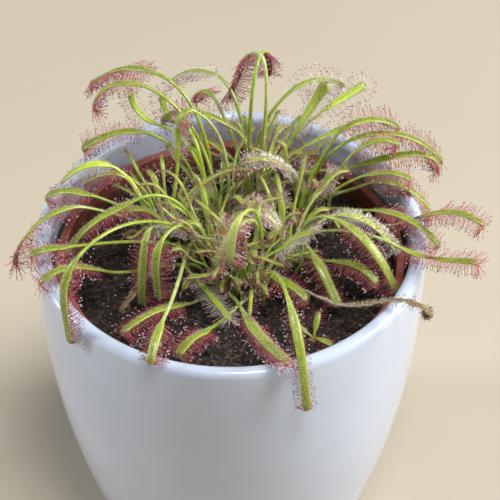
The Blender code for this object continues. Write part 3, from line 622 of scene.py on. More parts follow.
def on_peat(crown, radius, angle):
    """A place on the peat's top at a radius and an angle from a crown's middle."""
    x = CROWNS[crown][0] * MM + radius * math.cos(angle)
    y = CROWNS[crown][1] * MM + radius * math.sin(angle)
    return Vector((x, y, soil_height(x, y)))


def crown_spots(crown, count):
    """Spots where a crown's stalks leave the peat, in the spiral that a rosette grows in."""
    spots = []
    for number in range(count):
        ring = SPOT_SPACING * math.sqrt(number + FIRST_SPOT)
        spots.append(on_peat(crown, ring, math.radians(number * GOLDEN_ANGLE)))
    return spots


def heart_spots(leaf):
    """The one spot in a crown's heart where an inner leaf leaves the short stem."""
    return [on_peat(leaf.crown, HUB_STALK_RING, math.radians(leaf.heading)) + UP * HUB_HEIGHT]


def heart_leaves(crown):
    """Small leaves round a crown's middle, in the rosette's spiral, the outer ones longer and lower."""
    leaves = []
    for number in range(HEART_COUNT):
        out = HEART_REACH + HEART_REACH_STEP * number
        up = HEART_RISE + HEART_RISE_STEP * number + HEART_RISE_SPREAD * (crown % 3)
        heading = GOLDEN_ANGLE * (number + 2 * crown)
        leaves.append(Leaf("small", crown, heading, HEART_KNEE_OUT * out, HEART_KNEE_UP * up, HEART_LIFT,
                           out, up, HEART_DIP_STEP * number, HEART_BLADE_WIDTH, "small"))
    return leaves


def is_clear(crowd, balls, node):
    """Whether a leaf clears the other leaves, the pots and the peat. One node's leaves may fuse low down."""
    for number, (place, radius) in enumerate(balls):
        if number >= ROOTED_BALLS and gap_to_pots(place) < radius + POT_GAP:
            return False
        fused = place.z < SOIL_TOP + FUSED_HEIGHT
        if crowd.touches(place, radius, BODY_GAP, node if fused else None):
            return False
    return True


def place_leaf(leaf, spots, crowd, node):
    """The nearest free spot and least bend at which a leaf clears all leaves in place, if there is one."""
    wish = on_peat(leaf.crown, WISHED_RING, math.radians(leaf.heading))
    choices = []
    for number, spot in enumerate(spots):
        away = (spot.xy - wish.xy).length / MM
        for turn in TURNS:
            for raised in RAISES:
                cost = away + abs(turn) * TURN_COST + abs(raised) * RAISE_COST
                choices.append((cost, number, turn, raised))
    for _, number, turn, raised in sorted(choices):
        curves = leaf_curves(leaf, spots[number], turn, raised)
        balls = body_balls(leaf_stations(leaf, curves))
        if is_clear(crowd, balls, node):
            crowd.add(node, balls)
            return spots[number], curves
    return None


def heart_name(crown):
    """The node of a crown's heart."""
    return "heart_%d" % crown


def plan_leaves():
    """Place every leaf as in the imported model. Gives each node's leaves with their curves, and the crowd."""
    crowd = Crowd()
    nodes = {}
    taken = []
    for crown in CROWNS:
        crowd.add(heart_name(crown), [(on_peat(crown, 0, 0), HUB_RADIUS)])

    def plan(node, leaf, spots):
        placed = place_leaf(leaf, spots, crowd, node)
        if placed:
            nodes.setdefault(node, []).append((leaf, placed[1]))
        return placed

    for leaf in INNER_LEAVES:
        plan(heart_name(leaf.crown), leaf, heart_spots(leaf))
    for leaf in LEAVES:
        members = sum(other.crown == leaf.crown for other in LEAVES)
        spots = [spot for spot in crown_spots(leaf.crown, members + SPARE_SPOTS)
                 if all((spot - hole).length > HOLE_SPACING for hole in taken)]
        placed = plan("leaf_" + leaf.name, leaf, spots)
        if not placed:
            raise RuntimeError("no clear place for " + leaf.name)
        taken.append(placed[0])
    for crown in ROSETTES:
        for leaf in heart_leaves(crown):
            plan(heart_name(crown), leaf, heart_spots(leaf))
    return nodes, crowd


def filler_leaves(crown, crowd):
    """Thin young leaves round a crown's middle with their curves, each where it clears what is in place."""
    draw = random.Random("filler %d" % crown)
    placed = []
    for number in range(FILLERS):
        for _ in range(FILLER_TRIES):
            heading = draw.uniform(0, 360)
            out, up = draw.uniform(*FILLER_OUT), draw.uniform(*FILLER_UP)
            lift = draw.uniform(*FILLER_LIFT)
            leaf = Leaf("filler", crown, heading, out * draw.uniform(*FILLER_KNEE_OUT),
                        up * draw.uniform(*FILLER_KNEE_UP), lift, out, up, lift - draw.uniform(*FILLER_BEND),
                        draw.uniform(*FILLER_WIDTH), "pale" if number == DOWNY_FILLER else "small")
            foot_angle = math.radians(heading + draw.gauss(0, FILLER_SWAY))
            foot = on_peat(crown, draw.uniform(*FILLER_RING) * MM, foot_angle)
            curves = leaf_curves(leaf, foot, 0, 0)
            balls = body_balls(leaf_stations(leaf, curves))
            free = not any(crowd.touches(place, FILLER_BALL, 0) for place, _ in balls)
            if free and all(gap_to_pots(place) > STALK_BALL for place, _ in balls[ROOTED_BALLS:]):
                crowd.add(heart_name(crown), balls)
                placed.append((leaf, curves))
                break
    return placed


def new_mesh(name, bm, slot=None):
    """A smooth mesh from a bmesh, which is freed. Where a slot is given, all its faces take that material."""
    if slot is not None:
        for face in bm.faces:
            face.material_index = slot
    mesh = bpy.data.meshes.new(name)
    bm.to_mesh(mesh)
    bm.free()
    mesh.shade_smooth()
    return mesh


def new_object(name, data):
    """An object in the scene, at the origin."""
    item = bpy.data.objects.new(name, data)
    bpy.context.scene.collection.objects.link(item)
    return item


def new_piece(name, mesh, materials):
    """An object of the part that rides with the pots."""
    for material in materials:
        mesh.materials.append(material)
    piece = new_object(name, mesh)
    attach(piece, "root")
    return piece


def spun(profile, steps):
    """A closed bmesh turned about Z from (radius, height) points that start and end on the axis."""
    bm = bmesh.new()
    points = [bm.verts.new((radius, 0, height)) for radius, height in profile]
    lines = [bm.edges.new(pair) for pair in zip(points, points[1:])]
    bmesh.ops.spin(bm, geom=points + lines, cent=(0, 0, 0), axis=(0, 0, 1), angle=math.tau,
                   steps=steps, use_merge=True)
    bmesh.ops.remove_doubles(bm, verts=bm.verts, dist=2 * MERGE_GAP)
    bmesh.ops.recalc_face_normals(bm, faces=bm.faces)
    return bm


def arc(middle, radius, start, end, count):
    """(radius, height) points on an arc of a profile, its angles in degrees."""
    points = []
    for number in range(count + 1):
        angle = math.radians(start + (end - start) * number / count)
        points.append((middle[0] + radius * math.cos(angle), middle[1] + radius * math.sin(angle)))
    return points


def discard(meshes):
    """Remove small meshes that were planted and aren't needed any more."""
    for mesh in meshes:
        bpy.data.meshes.remove(mesh)


def absorb(bm, mesh):
    """Add a mesh to a bmesh and discard it."""
    bm.from_mesh(mesh)
    discard([mesh])


def planted(bm, shape, matrix):
    """Add a copy of a small mesh to a bmesh at a matrix."""
    copy = shape.copy()
    copy.transform(matrix)
    absorb(bm, copy)


def facing(place, aim, side, scale):
    """A matrix that stands a shape's Z on a direction, turned so that its X leans to a side."""
    aim = aim.normalized()
    lean = (side - aim * side.dot(aim)).normalized()
    turn = Matrix((lean, aim.cross(lean), aim)).transposed().to_4x4()
    return Matrix.Translation(place) @ turn @ Matrix.Scale(scale, 4)


class Nodes:
    """A node tree and short ways to add to it. An input is a value or another node's output."""

    def __init__(self, tree):
        self.tree = tree

    def plug(self, socket, value):
        """Link an output to a socket, or set the socket's value."""
        if isinstance(value, bpy.types.NodeSocket):
            self.tree.links.new(value, socket)
        elif socket.type == "RGBA":
            socket.default_value = (*value[:3], 1)
        else:
            socket.default_value = value

    def add(self, kind, settings=None, **inputs):
        """A new node with its settings and inputs."""
        node = self.tree.nodes.new(kind)
        for name, value in (settings or {}).items():
            setattr(node, name, value)
        for name, value in inputs.items():
            self.plug(node.inputs[name.replace("_", " ")], value)
        return node

    def calc(self, operation, first, second=0.0):
        """The output of a Math node."""
        node = self.add("ShaderNodeMath", {"operation": operation})
        for socket, value in zip(node.inputs, (first, second)):
            self.plug(socket, value)
        return node.outputs[0]

    def between(self, value, low, high, to_low=0.0, to_high=1.0):
        """A value smoothly mapped from one range to another, and held at its ends."""
        node = self.add("ShaderNodeMapRange", {"interpolation_type": "SMOOTHSTEP"}, Value=value, From_Min=low,
                        From_Max=high, To_Min=to_low, To_Max=to_high)
        return node.outputs["Result"]

    def mixed(self, factor, first, second):
        """Two colours mixed by a factor."""
        node = self.add("ShaderNodeMix", {"data_type": "RGBA"})
        for number, value in zip(MIX_INPUTS, (factor, first, second)):
            self.plug(node.inputs[number], value)
        return node.outputs[MIX_OUTPUT]

    def axes(self, vector):
        """The X, Y and Z of a vector."""
        return self.add("ShaderNodeSeparateXYZ", Vector=vector).outputs


def mottle_nodes(nodes, given):
    """Cloudy variation between two values."""
    cloud = nodes.add("ShaderNodeTexNoise", Vector=given["Place"], Scale=given["Scale"], Detail=4.0,
                      Roughness=0.6)
    return nodes.between(cloud.outputs[0], 0.3, 0.7, given["Low"], given["High"])


def speck_nodes(nodes, given):
    """A mask of small round specks, each of its own size."""
    cells = nodes.add("ShaderNodeTexVoronoi", Vector=given["Place"], Scale=given["Scale"])
    own = nodes.add("ShaderNodeSeparateColor", Color=cells.outputs["Color"]).outputs[0]
    return nodes.calc("LESS_THAN", cells.outputs["Distance"], nodes.calc("MULTIPLY", given["Size"], own))


def grain_nodes(nodes, given):
    """A fine uneven normal."""
    cloud = nodes.add("ShaderNodeTexNoise", Vector=given["Place"], Scale=given["Scale"], Detail=3.0)
    return nodes.add("ShaderNodeBump", Height=cloud.outputs[0], Distance=given["Depth"]).outputs[0]


# Effects that several materials share, each with its output and how it is built
EFFECTS = {"Mottle": ("Value", "NodeSocketFloat", mottle_nodes),
           "Specks": ("Mask", "NodeSocketFloat", speck_nodes),
           "Grain": ("Normal", "NodeSocketVector", grain_nodes)}


class Finish(Nodes):
    """A material whose body colour is laid over in turn. Its patterns read the object's own coordinates."""

    def __init__(self, name, colour):
        self.material = bpy.data.materials.new(name)
        self.material.use_nodes = True
        super().__init__(self.material.node_tree)
        self.shader = self.tree.nodes["Principled BSDF"]
        self.place = self.add("ShaderNodeTexCoord").outputs["Object"]
        self.body = colour

    def effect(self, name, **inputs):
        """The output of a shared effect's node group, which is built when it is first needed."""
        if name not in bpy.data.node_groups:
            label, kind, build = EFFECTS[name]
            group = bpy.data.node_groups.new(name, "ShaderNodeTree")
            group.interface.new_socket("Place", in_out="INPUT", socket_type="NodeSocketVector")
            for given in inputs:
                group.interface.new_socket(given, in_out="INPUT", socket_type="NodeSocketFloat")
            group.interface.new_socket(label, in_out="OUTPUT", socket_type=kind)
            nodes = Nodes(group)
            result = build(nodes, nodes.add("NodeGroupInput").outputs)
            nodes.plug(nodes.add("NodeGroupOutput").inputs[0], result)
        return self.add("ShaderNodeGroup", {"node_tree": bpy.data.node_groups[name]}, Place=self.place,
                        **inputs).outputs[0]

    def mottle(self, scale, low=0.0, high=1.0):
        """Cloudy variation between two values."""
        return self.effect("Mottle", Scale=scale, Low=low, High=high)

    def specks(self, scale, size):
        """A mask of small round specks."""
        return self.effect("Specks", Scale=scale, Size=size)

    def grain(self, scale, depth):
        """A fine uneven normal."""
        return self.effect("Grain", Scale=scale, Depth=depth)

    def leaf_map(self):
        """Places along and round a leaf or a tentacle, from its own map."""
        return self.axes(self.add("ShaderNodeUVMap", {"uv_map": LEAF_MAP}).outputs[0])

    def own(self, attribute):
        """A leaf's own value of an attribute."""
        return self.add("ShaderNodeAttribute", {"attribute_name": attribute}).outputs["Fac"]

    def over(self, colour, *masks):
        """Lay a colour over the body by the product of masks and shares."""
        mask = masks[0]
        for other in masks[1:]:
            mask = self.calc("MULTIPLY", mask, other)
        self.body = self.mixed(mask, self.body, colour)

    def done(self, **inputs):
        """Set or link the shader's sockets, and give the material."""
        for name, value in {"Base_Color": self.body, **inputs}.items():
            self.plug(self.shader.inputs[name.replace("_", " ")], value)
        return self.material


def shade(colour, share):
    """A colour made darker or brighter."""
    return tuple(part * share for part in colour)


def glaze_material(look):
    """Pale semi-gloss glaze, a little cloudy, with fine specks and an unglazed foot."""
    glaze = Finish("pale glaze", look.glaze_colour)
    glaze.over(shade(look.glaze_colour, 0.93), glaze.mottle(22.0))
    glaze.over(IRON_SPECKS, glaze.specks(380.0, 0.07), 0.25)
    foot = glaze.between(glaze.axes(glaze.place)["Z"], 0.4 * MM, FOOT_ROUND, 1.0, 0.0)
    glaze.over(BARE_CLAY, foot)
    sheen = glaze.mottle(60.0, look.glaze_roughness * 0.85, look.glaze_roughness * 1.25)
    rough = glaze.calc("MAXIMUM", sheen, glaze.calc("MULTIPLY", foot, 0.75))
    return glaze.done(Roughness=rough, Coat_Weight=0.28, Coat_Roughness=0.12,
                      Normal=glaze.grain(90.0, 0.00003))


def plastic_material(look):
    """Red-brown moulded plastic, dusty with peat low on its inside and scuffed along its rim."""
    plastic = Finish("red-brown plastic", look.plastic_colour)
    plastic.over(shade(look.plastic_colour, 0.78), plastic.mottle(90.0))
    x, y, height = plastic.axes(plastic.place)
    flat = plastic.add("ShaderNodeCombineXYZ", X=x, Y=y).outputs[0]
    reach = plastic.add("ShaderNodeVectorMath", {"operation": "LENGTH"}, Vector=flat).outputs["Value"]
    inside = plastic.between(reach, NURSERY_RIM_RADIUS - 1.9 * MM, NURSERY_RIM_RADIUS - 1.2 * MM, 1.0, 0.0)
    low = plastic.between(height, SOIL_TOP + 0.5 * MM, SOIL_TOP + 4 * MM, 1.0, 0.0)
    plastic.over(PEAT_DUST, inside, low, plastic.mottle(420.0, 0.2, 1.0))
    plastic.over(PEAT_STAINS, plastic.specks(700.0, 0.22), 0.55)
    plastic.over(SCUFFED_RIM, plastic.between(height, NURSERY_RIM_TOP - 0.9 * MM, NURSERY_RIM_TOP, 0.0, 0.25))
    plastic.over(DUST_SPECKS, plastic.specks(800.0, 0.2), 0.5)
    return plastic.done(Roughness=plastic.mottle(260.0, 0.32, 0.55), Normal=plastic.grain(900.0, 0.00004))


def peat_material(look):
    """Dark crumbly peat, brown where it is dry and nearly black in patches."""
    peat = Finish("peat", shade(look.peat_colour, 0.3))
    peat.over(look.peat_colour, peat.mottle(520.0))
    peat.over(DRY_PEAT, peat.calc("POWER", peat.mottle(650.0), 3.0))
    peat.over(PEAT_SPECKS, peat.specks(2300.0, 0.16), 0.7)
    return peat.done(Roughness=peat.mottle(300.0, 0.7, 1.0), Normal=peat.grain(1500.0, 0.0004))


def bit_material(name, colour, roughness):
    """Small dry or mineral bits in the peat, each a little different."""
    bit = Finish(name, shade(colour, 0.3))
    bit.over(colour, bit.mottle(140.0))
    return bit.done(Roughness=roughness, Normal=bit.grain(2500.0, 0.0001))


def leaf_material(name, blade, stalk, light, margin, flush, gloss):
    """Leaf skin read along and round the leaf: stalk, blade, pale margins that are partly painted glow of
    light through the thin edges, dark rib, red inner face.
    """
    skin = Finish(name, stalk)
    along, around, _ = skin.leaf_map()
    turn = skin.calc("MULTIPLY", around, math.tau)
    sideways = skin.calc("ABSOLUTE", skin.calc("COSINE", turn))
    upward = skin.calc("SINE", turn)
    on_blade = skin.between(along, 0.47, 0.62)
    tint = skin.own(TINT)
    # Stalks of the palest-tinted leaves go near white: partly their own pale tone, partly painted highlight
    palest_with_highlight = tuple(part * 0.75 + 0.38 for part in light)
    skin.over(palest_with_highlight, skin.between(tint, 0.35, 1.0, 0.0, 0.85))
    skin.over(skin.mixed(skin.calc("MULTIPLY", tint, 0.5), blade, light), on_blade)
    skin.over(shade(blade, 1.5), skin.mottle(70.0, 0.0, 0.75))
    skin.over(shade(blade, 0.55), skin.mottle(420.0, 0.0, 0.4))
    # Pale margins: partly the edges' own yellower green, partly painted glow of light shining through them
    skin.over(margin, skin.between(sideways, 0.6, 0.97), on_blade, 0.8)
    skin.over(shade(blade, 0.7), skin.between(sideways, 0.0, 0.22, 0.45, 0.0), on_blade)
    skin.over(flush, skin.between(upward, 0.1, -0.45), on_blade, 0.85)
    skin.over(AGED_SKIN, skin.between(along, 0.72, 1.0, 0.0, 0.5))
    skin.over(flush, skin.between(along, 0.94, 1.0, 0.0, 0.7))
    skin.over(shade(blade, 0.3), skin.specks(1050.0, 0.34), 0.6)
    # Pale dots: partly hairs and glands, partly painted glints of light
    skin.over(PALE_DOTS_AND_GLINTS, skin.specks(1500.0, 0.4), on_blade, 0.3)
    skin.over(flush, skin.own(NECK), 0.85)
    skin.over(MUDDY_FOOT, skin.between(skin.axes(skin.place)["Z"], SOIL_TOP, SOIL_TOP + 5 * MM, 0.7, 0.0))
    shine = skin.calc("SUBTRACT", 1.0, skin.calc("MULTIPLY", on_blade, 0.65))
    return skin.done(Roughness=skin.mottle(300.0, gloss * 0.8, gloss * 1.3), Subsurface_Weight=0.25,
                     Subsurface_Radius=(0.8, 1.0, 0.2), Subsurface_Scale=0.0012, Coat_Weight=shine,
                     Coat_Roughness=0.16, Normal=skin.grain(1500.0, 0.00014))


def tentacle_material(name, foot, head):
    """Clear jelly-like stalk that deepens in colour from its foot to its gland."""
    jelly = Finish(name, foot)
    jelly.over(head, jelly.between(jelly.leaf_map()["Y"], 0.0, 0.85))
    jelly.over(shade(head, 0.6), jelly.mottle(160.0, 0.0, 0.35))
    return jelly.done(Roughness=0.3, Subsurface_Weight=0.3, Subsurface_Radius=(1.0, 0.4, 0.4),
                      Subsurface_Scale=0.0008)


def gland_material(name, colour):
    """Glossy gland, a little uneven in colour from one to the next."""
    gland = Finish(name, colour)
    gland.over(shade(colour, 0.35), gland.mottle(220.0))
    return gland.done(Roughness=0.18)


def dew_material():
    """Sticky drop, partly milky white as painted sparkle, so that each drop shows as a bright dot. Lamps shine
    through it, so that the leaves below stay lit.
    """
    dew = Finish("clear dew", DEW_SPARKLE_TINTS[0])
    dew.over(DEW_SPARKLE_TINTS[1], dew.mottle(60.0))
    # Only partly clear: the milky white rest is painted sparkle
    material = dew.done(Roughness=0.03, IOR=1.45, Transmission_Weight=0.66)
    choice = dew.add("ShaderNodeMixShader")
    shadow = dew.add("ShaderNodeLightPath").outputs["Is Shadow Ray"]
    clear = dew.add("ShaderNodeBsdfTransparent").outputs[0]
    for socket, output in zip(choice.inputs, (shadow, dew.shader.outputs[0], clear)):
        dew.plug(socket, output)
    dew.plug(dew.tree.nodes["Material Output"].inputs["Surface"], choice.outputs[0])
    return material


def hair_material(name, colour):
    """Fine pale hair that catches the light."""
    hair = Finish(name, colour)
    hair.over(shade(colour, 0.8), hair.mottle(200.0))
    return hair.done(Roughness=0.35, Subsurface_Weight=0.3, Subsurface_Scale=0.0005)


# A ring round a leaf. Flat is 0 on its round stalk and 1 on the strap, and along is 0.5 where they meet
Ring = namedtuple("Ring", "place across upper half_width half_thickness flat along")


class LeafForm:
    """A leaf in its place: its two curves and the small waves that tell it from its neighbours."""

    def __init__(self, leaf, curves, seed):
        self.leaf = leaf
        self.stalk, self.blade, self.level = curves
        self.draw = random.Random(seed)
        self.roll = math.radians(ROLLS.get(leaf.name, 0) + TURNED.get(leaf.name, 0))
        self.slim = SMALL_STALK if leaf.kind == "small" else 1
        self.phases = [self.draw.uniform(0, math.tau) for _ in range(4)]
        self.length = (self.blade[3] - self.blade[0]).length
        self.rumpled = leaf.kind == "dead"
        self.curl = math.radians(self.draw.uniform(*CURLS[leaf.kind]))
        self.curl_from = 1 - min(LONGEST_CURL, (KNOB_LENGTH if self.rumpled else CURL_LENGTH) / self.length)
        self.reach = 1 if self.rumpled else 1 - CURL_SHORTENING * (1 - self.curl_from)
        self.tuck = TUCKS.get(leaf.name, self.draw.uniform(*TUCK_RANGE))
        self.tint = TINTS.get(leaf.name, self.draw.random())
        self.rounded = max(ROUNDED_END, 0.5 * leaf.width * MM / self.length)

    def half_width(self, part):
        """Half width of the blade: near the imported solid's, with slightly wavy margins."""
        full = self.leaf.width * MM / 2 * BREADTHS.get(self.leaf.name, 1)
        start = STALK_HALF_WIDTH * self.slim
        widen = widening(part)
        width = start + (full - start) * widen
        if self.leaf.kind == "young":
            width *= 1 + SPOON * (part - SPOON_MIDDLE)
        else:
            width *= 1 - FINE_NARROWING * past(NARROWS_FROM, part) ** 2
        width *= 1 + WAVE * math.sin(WAVE_RATE * part + self.phases[0]) * widen
        if self.rumpled:
            rate, slow_rate = RAGGED_RATES
            width *= 1 + RAGGED * math.sin(rate * part + self.phases[1]) * math.sin(slow_rate * part)
        return width * (1 - NECK_SQUEEZE * self.neck(part))

    def margin(self, part):
        """Half width of the blade where hairs and tentacles stand, with its end rounded off."""
        return self.half_width(part) * rounding(part, ROUNDED_END)

    def neck(self, part):
        """How near a part of the blade is to its slim crimson neck, from 0 to 1."""
        if self.leaf.name not in WAISTS:
            return 0
        return math.exp(-((part - WAISTS[self.leaf.name]) / NECK_LENGTH) ** 2)

    def on_stalk(self, part):
        """Place, direction along, across and upper of the stalk at a part of its length."""
        along = curve_slope(self.stalk, part)
        return curve_point(self.stalk, part), along, *cross_frame(self.level, along, 0)

    def on_blade(self, part):
        """Place, direction along, across and upper of the blade at a part of its length."""
        straight = min(part / self.curl_from, 1) * self.reach
        place = curve_point(self.blade, straight) + UP * DRY_LIFT.get(self.leaf.name, 0) * straight ** 2
        along = curve_slope(self.blade, straight)
        twist = math.radians(TWIST) * math.sin(TWIST_RATE * part + self.phases[2])
        twist *= min(1, part / TWISTS_FROM)
        across, upper = cross_frame(self.level, along, self.roll * part + twist)
        if part > self.curl_from and self.curl:
            turn = self.curl * past(self.curl_from, part)
            radius = (1 - self.curl_from) * self.length / self.curl
            place = place + along * radius * math.sin(turn) - upper * radius * (1 - math.cos(turn))
            bend = Matrix.Rotation(turn, 3, across)
            along, upper = bend @ along, bend @ upper
        return place, along, across, upper

    def rings(self):
        """Rings from root to tip."""
        width, thickness = STALK_HALF_WIDTH * self.slim, STALK_HALF_THICKNESS * self.slim
        root = self.stalk[0] - UP * (HUB_ROOT if is_hearted(self.leaf) else ROOT_DEPTH)
        level = cross_frame(self.level, UP, 0)
        rings = [Ring(root, *level, 0, 0, 0, 0), Ring(root, *level, width, thickness, 0, 0)]
        count = math.ceil((self.stalk[3] - self.stalk[0]).length / STALK_RING)
        for number in range(count):
            part = number / count
            place, _, across, upper = self.on_stalk(part)
            swell = 1 + FOOT_SWELL * (1 - part) ** 3 - STALK_TAPER * part
            rings.append(Ring(place, across, upper, width * swell, thickness * swell, 0, part / 2))
        count = math.ceil(self.length / BLADE_RING)
        parts = [(1 - self.rounded) * number / count for number in range(count)]
        parts += [1 - self.rounded * (1 - math.sin(math.pi / 2 * number / END_RINGS))
                  for number in range(END_RINGS + 1)]
        for part in parts:
            place, _, across, upper = self.on_blade(part)
            flat = min(1, part / FLATTENS_OVER)
            thick = thickness + (FINE_HALF_THICKNESS - thickness) * flat
            if self.rumpled:
                thick *= 1 + KNOB_SWELL * past(self.curl_from, part)
            end = rounding(part, self.rounded)
            rings.append(Ring(place, across, upper, self.half_width(part) * end, thick * end, flat,
                              0.5 + part / 2))
        return rings

    def skin_point(self, ring, angle):
        """Point round a ring: a round stalk that turns into a strap with sagging margins, midrib and keel."""
        side = math.cos(angle)
        rise = math.sin(angle)
        strap = math.copysign(abs(rise) ** STRAP_ROUNDING, rise)
        height = ring.half_thickness * (rise + (strap - rise) * ring.flat)
        height -= MARGIN_SAG * ring.half_width * side * side * ring.flat
        middle = math.exp(-(side / MIDRIB_WIDTH) ** 2) * ring.flat * min(1, ring.half_width / MM)
        height -= middle * (MIDRIB_GROOVE if rise > 0 else KEEL_BUMP)
        return ring.place + ring.across * ring.half_width * side + ring.upper * height

    def mesh(self, slot):
        """The closed skin of the leaf, with a map along and round it."""
        rings = self.rings()
        points = SMALL_ROUND_POINTS if self.leaf.kind == "small" else ROUND_POINTS
        bm = bmesh.new()
        uv = bm.loops.layers.uv.new(LEAF_MAP)
        tint = bm.verts.layers.float.new(TINT)
        neck = bm.verts.layers.float.new(NECK)
        bmesh.ops.create_grid(bm, x_segments=len(rings) - 1, y_segments=points, size=1, calc_uvs=True)

        def ring_of(vert):
            return rings[round((vert.co.x + 1) / 2 * (len(rings) - 1))]

        for face in bm.faces:
            for loop in face.loops:
                loop[uv].uv = (ring_of(loop.vert).along, (loop.vert.co.y + 1) / 2)
        for vert in bm.verts:
            ring = ring_of(vert)
            vert.co = self.skin_point(ring, math.tau * (vert.co.y + 1) / 2)
            vert[tint] = self.tint
            vert[neck] = self.neck(2 * ring.along - 1)
        bmesh.ops.remove_doubles(bm, verts=bm.verts, dist=MERGE_GAP)
        if self.rumpled:
            for vert in bm.verts:
                if vert.co.z > CRUMPLED_ABOVE:
                    for size, depth in CRUMPLES:
                        vert.co += noise.noise_vector(vert.co / size) * depth
        bmesh.ops.recalc_face_normals(bm, faces=bm.faces)
        return new_mesh(self.leaf.name, bm, slot)


def stalk_shape(bend, steps, foot, length, neck, slot):
    """A thin three-sided stalk from the origin that bends towards +X. Gives its mesh, its top and its end's
    direction."""
    bm = bmesh.new()
    uv = bm.loops.layers.uv.new(LEAF_MAP)
    made = bmesh.ops.create_circle(bm, cap_ends=True, segments=3, radius=foot)
    rise = {vert: 0 for vert in made["verts"]}
    cap = list(bm.faces)
    place = Vector()
    for step in range(steps):
        lean = math.radians(bend) * (step + 1) / steps
        aim = Vector((math.sin(lean), 0, math.cos(lean)))
        extruded = bmesh.ops.extrude_face_region(bm, geom=cap)["geom"]
        if step:
            bmesh.ops.delete(bm, geom=cap, context="FACES_ONLY")
        cap = [item for item in extruded if isinstance(item, bmesh.types.BMFace)]
        verts = [item for item in extruded if isinstance(item, bmesh.types.BMVert)]
        bmesh.ops.translate(bm, vec=aim * length / steps, verts=verts)
        place = place + aim * length / steps
        before, after = (1 - (1 - neck) * number / steps for number in (step, step + 1))
        turn = Matrix.Rotation(math.radians(bend) / steps, 3, "Y")
        bmesh.ops.rotate(bm, cent=place, matrix=turn, verts=verts)
        bmesh.ops.scale(bm, vec=Vector((1, 1, 1)) * (after / before), verts=verts,
                        space=Matrix.Translation(-place))
        rise.update({vert: (step + 1) / steps for vert in verts})
    for face in bm.faces:
        for loop in face.loops:
            loop[uv].uv = (0.5, rise[loop.vert])
    bmesh.ops.recalc_face_normals(bm, faces=bm.faces)
    return new_mesh("stalk", bm, slot), place, aim


def gland_shape(slot):
    """A small egg-shaped gland, as wide as a unit ball."""
    bm = bmesh.new()
    bmesh.ops.create_uvsphere(bm, u_segments=GLAND_SIDES, v_segments=GLAND_RINGS, radius=1)
    bmesh.ops.scale(bm, vec=(1, 1, GLAND_STRETCH), verts=bm.verts)
    return new_mesh("gland", bm, slot)


def drop_shape():
    """A clear drop, as wide as a unit ball."""
    bm = bmesh.new()
    bmesh.ops.create_icosphere(bm, subdivisions=1, radius=1)
    bmesh.ops.scale(bm, vec=(1, 1, DROP_STRETCH), verts=bm.verts)
    return new_mesh("drop", bm)


def hair_shape(slot):
    """A fine tapering hair of unit length."""
    bm = bmesh.new()
    bmesh.ops.create_cone(bm, cap_ends=True, segments=3, radius1=HAIR_FOOT, radius2=0, depth=1,
                          matrix=Matrix.Translation((0, 0, 0.5)))
    return new_mesh("hair", bm, slot)


def tentacle_sites(form):
    """Where a blade's tentacles stand, as (foot, aim, length): dense margins, the inner face and the tip."""
    growth = GROWTHS[form.leaf.kind]
    draw = form.draw
    length = growth.length * MM * FRINGE_REACH.get(form.leaf.name, 1)
    spacing = growth.spacing * MM / form.length
    sites = []
    for row, side in [(row, side) for row in TENTACLE_ROWS for side in (1, -1)]:
        part = FRINGE_START + draw.uniform(0, spacing)
        while part < FRINGE_END:
            place, along, across, upper = form.on_blade(part)
            width = form.margin(part)
            slant = draw.uniform(row.least_slant, row.most_slant)
            slant = math.radians(slant + form.tuck * (1 - slant / INMOST_SLANT))
            fan = FAN + TIP_FAN * past(FAN_FROM, part) ** 2 + draw.gauss(0, FAN_SPREAD)
            aim = across * side * math.cos(slant) - upper * math.sin(slant) + along * fan
            if form.rumpled:
                aim = aim + Vector([draw.gauss(0, DRY_DISORDER) for _ in range(3)])
            sunk = MARGIN_SAG * width * row.out ** 2 + FOOT_SUNK
            foot = place + across * side * width * row.out - upper * sunk
            grown = min(1, SHORTEST + part * GROWS_BY)
            sites.append((foot, aim.normalized(), length * row.share * grown * draw.uniform(*ROW_LENGTHS)))
            part += spacing * row.sparse * draw.uniform(*ROW_GAPS)
    place, along, across, upper = form.on_blade(1)
    for _ in range(SMALL_TIP_COUNT if form.leaf.kind == "small" else TIP_COUNT):
        swing = math.radians(draw.uniform(*TIP_SWING))
        slant = math.radians(draw.uniform(*TIP_SLANT))
        aim = along * math.cos(swing) * math.cos(slant) + across * math.sin(swing) - upper * math.sin(slant)
        sites.append((place - along * TIP_INSET, aim.normalized(), length * draw.uniform(*TIP_LENGTHS)))
    return sites


def kept_length(foot, aim, length, owner, crowd):
    """The length at which a tentacle clears the pots, the peat and other leaves, or nothing."""
    for share in TENTACLE_TRIES:
        probes = [foot + aim * length * share * part for part in PROBES]
        if all(gap_to_pots(probe) > 2 * PROBE_RADIUS and not crowd.touches(probe, PROBE_RADIUS, 0, owner)
               for probe in probes):
            return length * share
    return 0


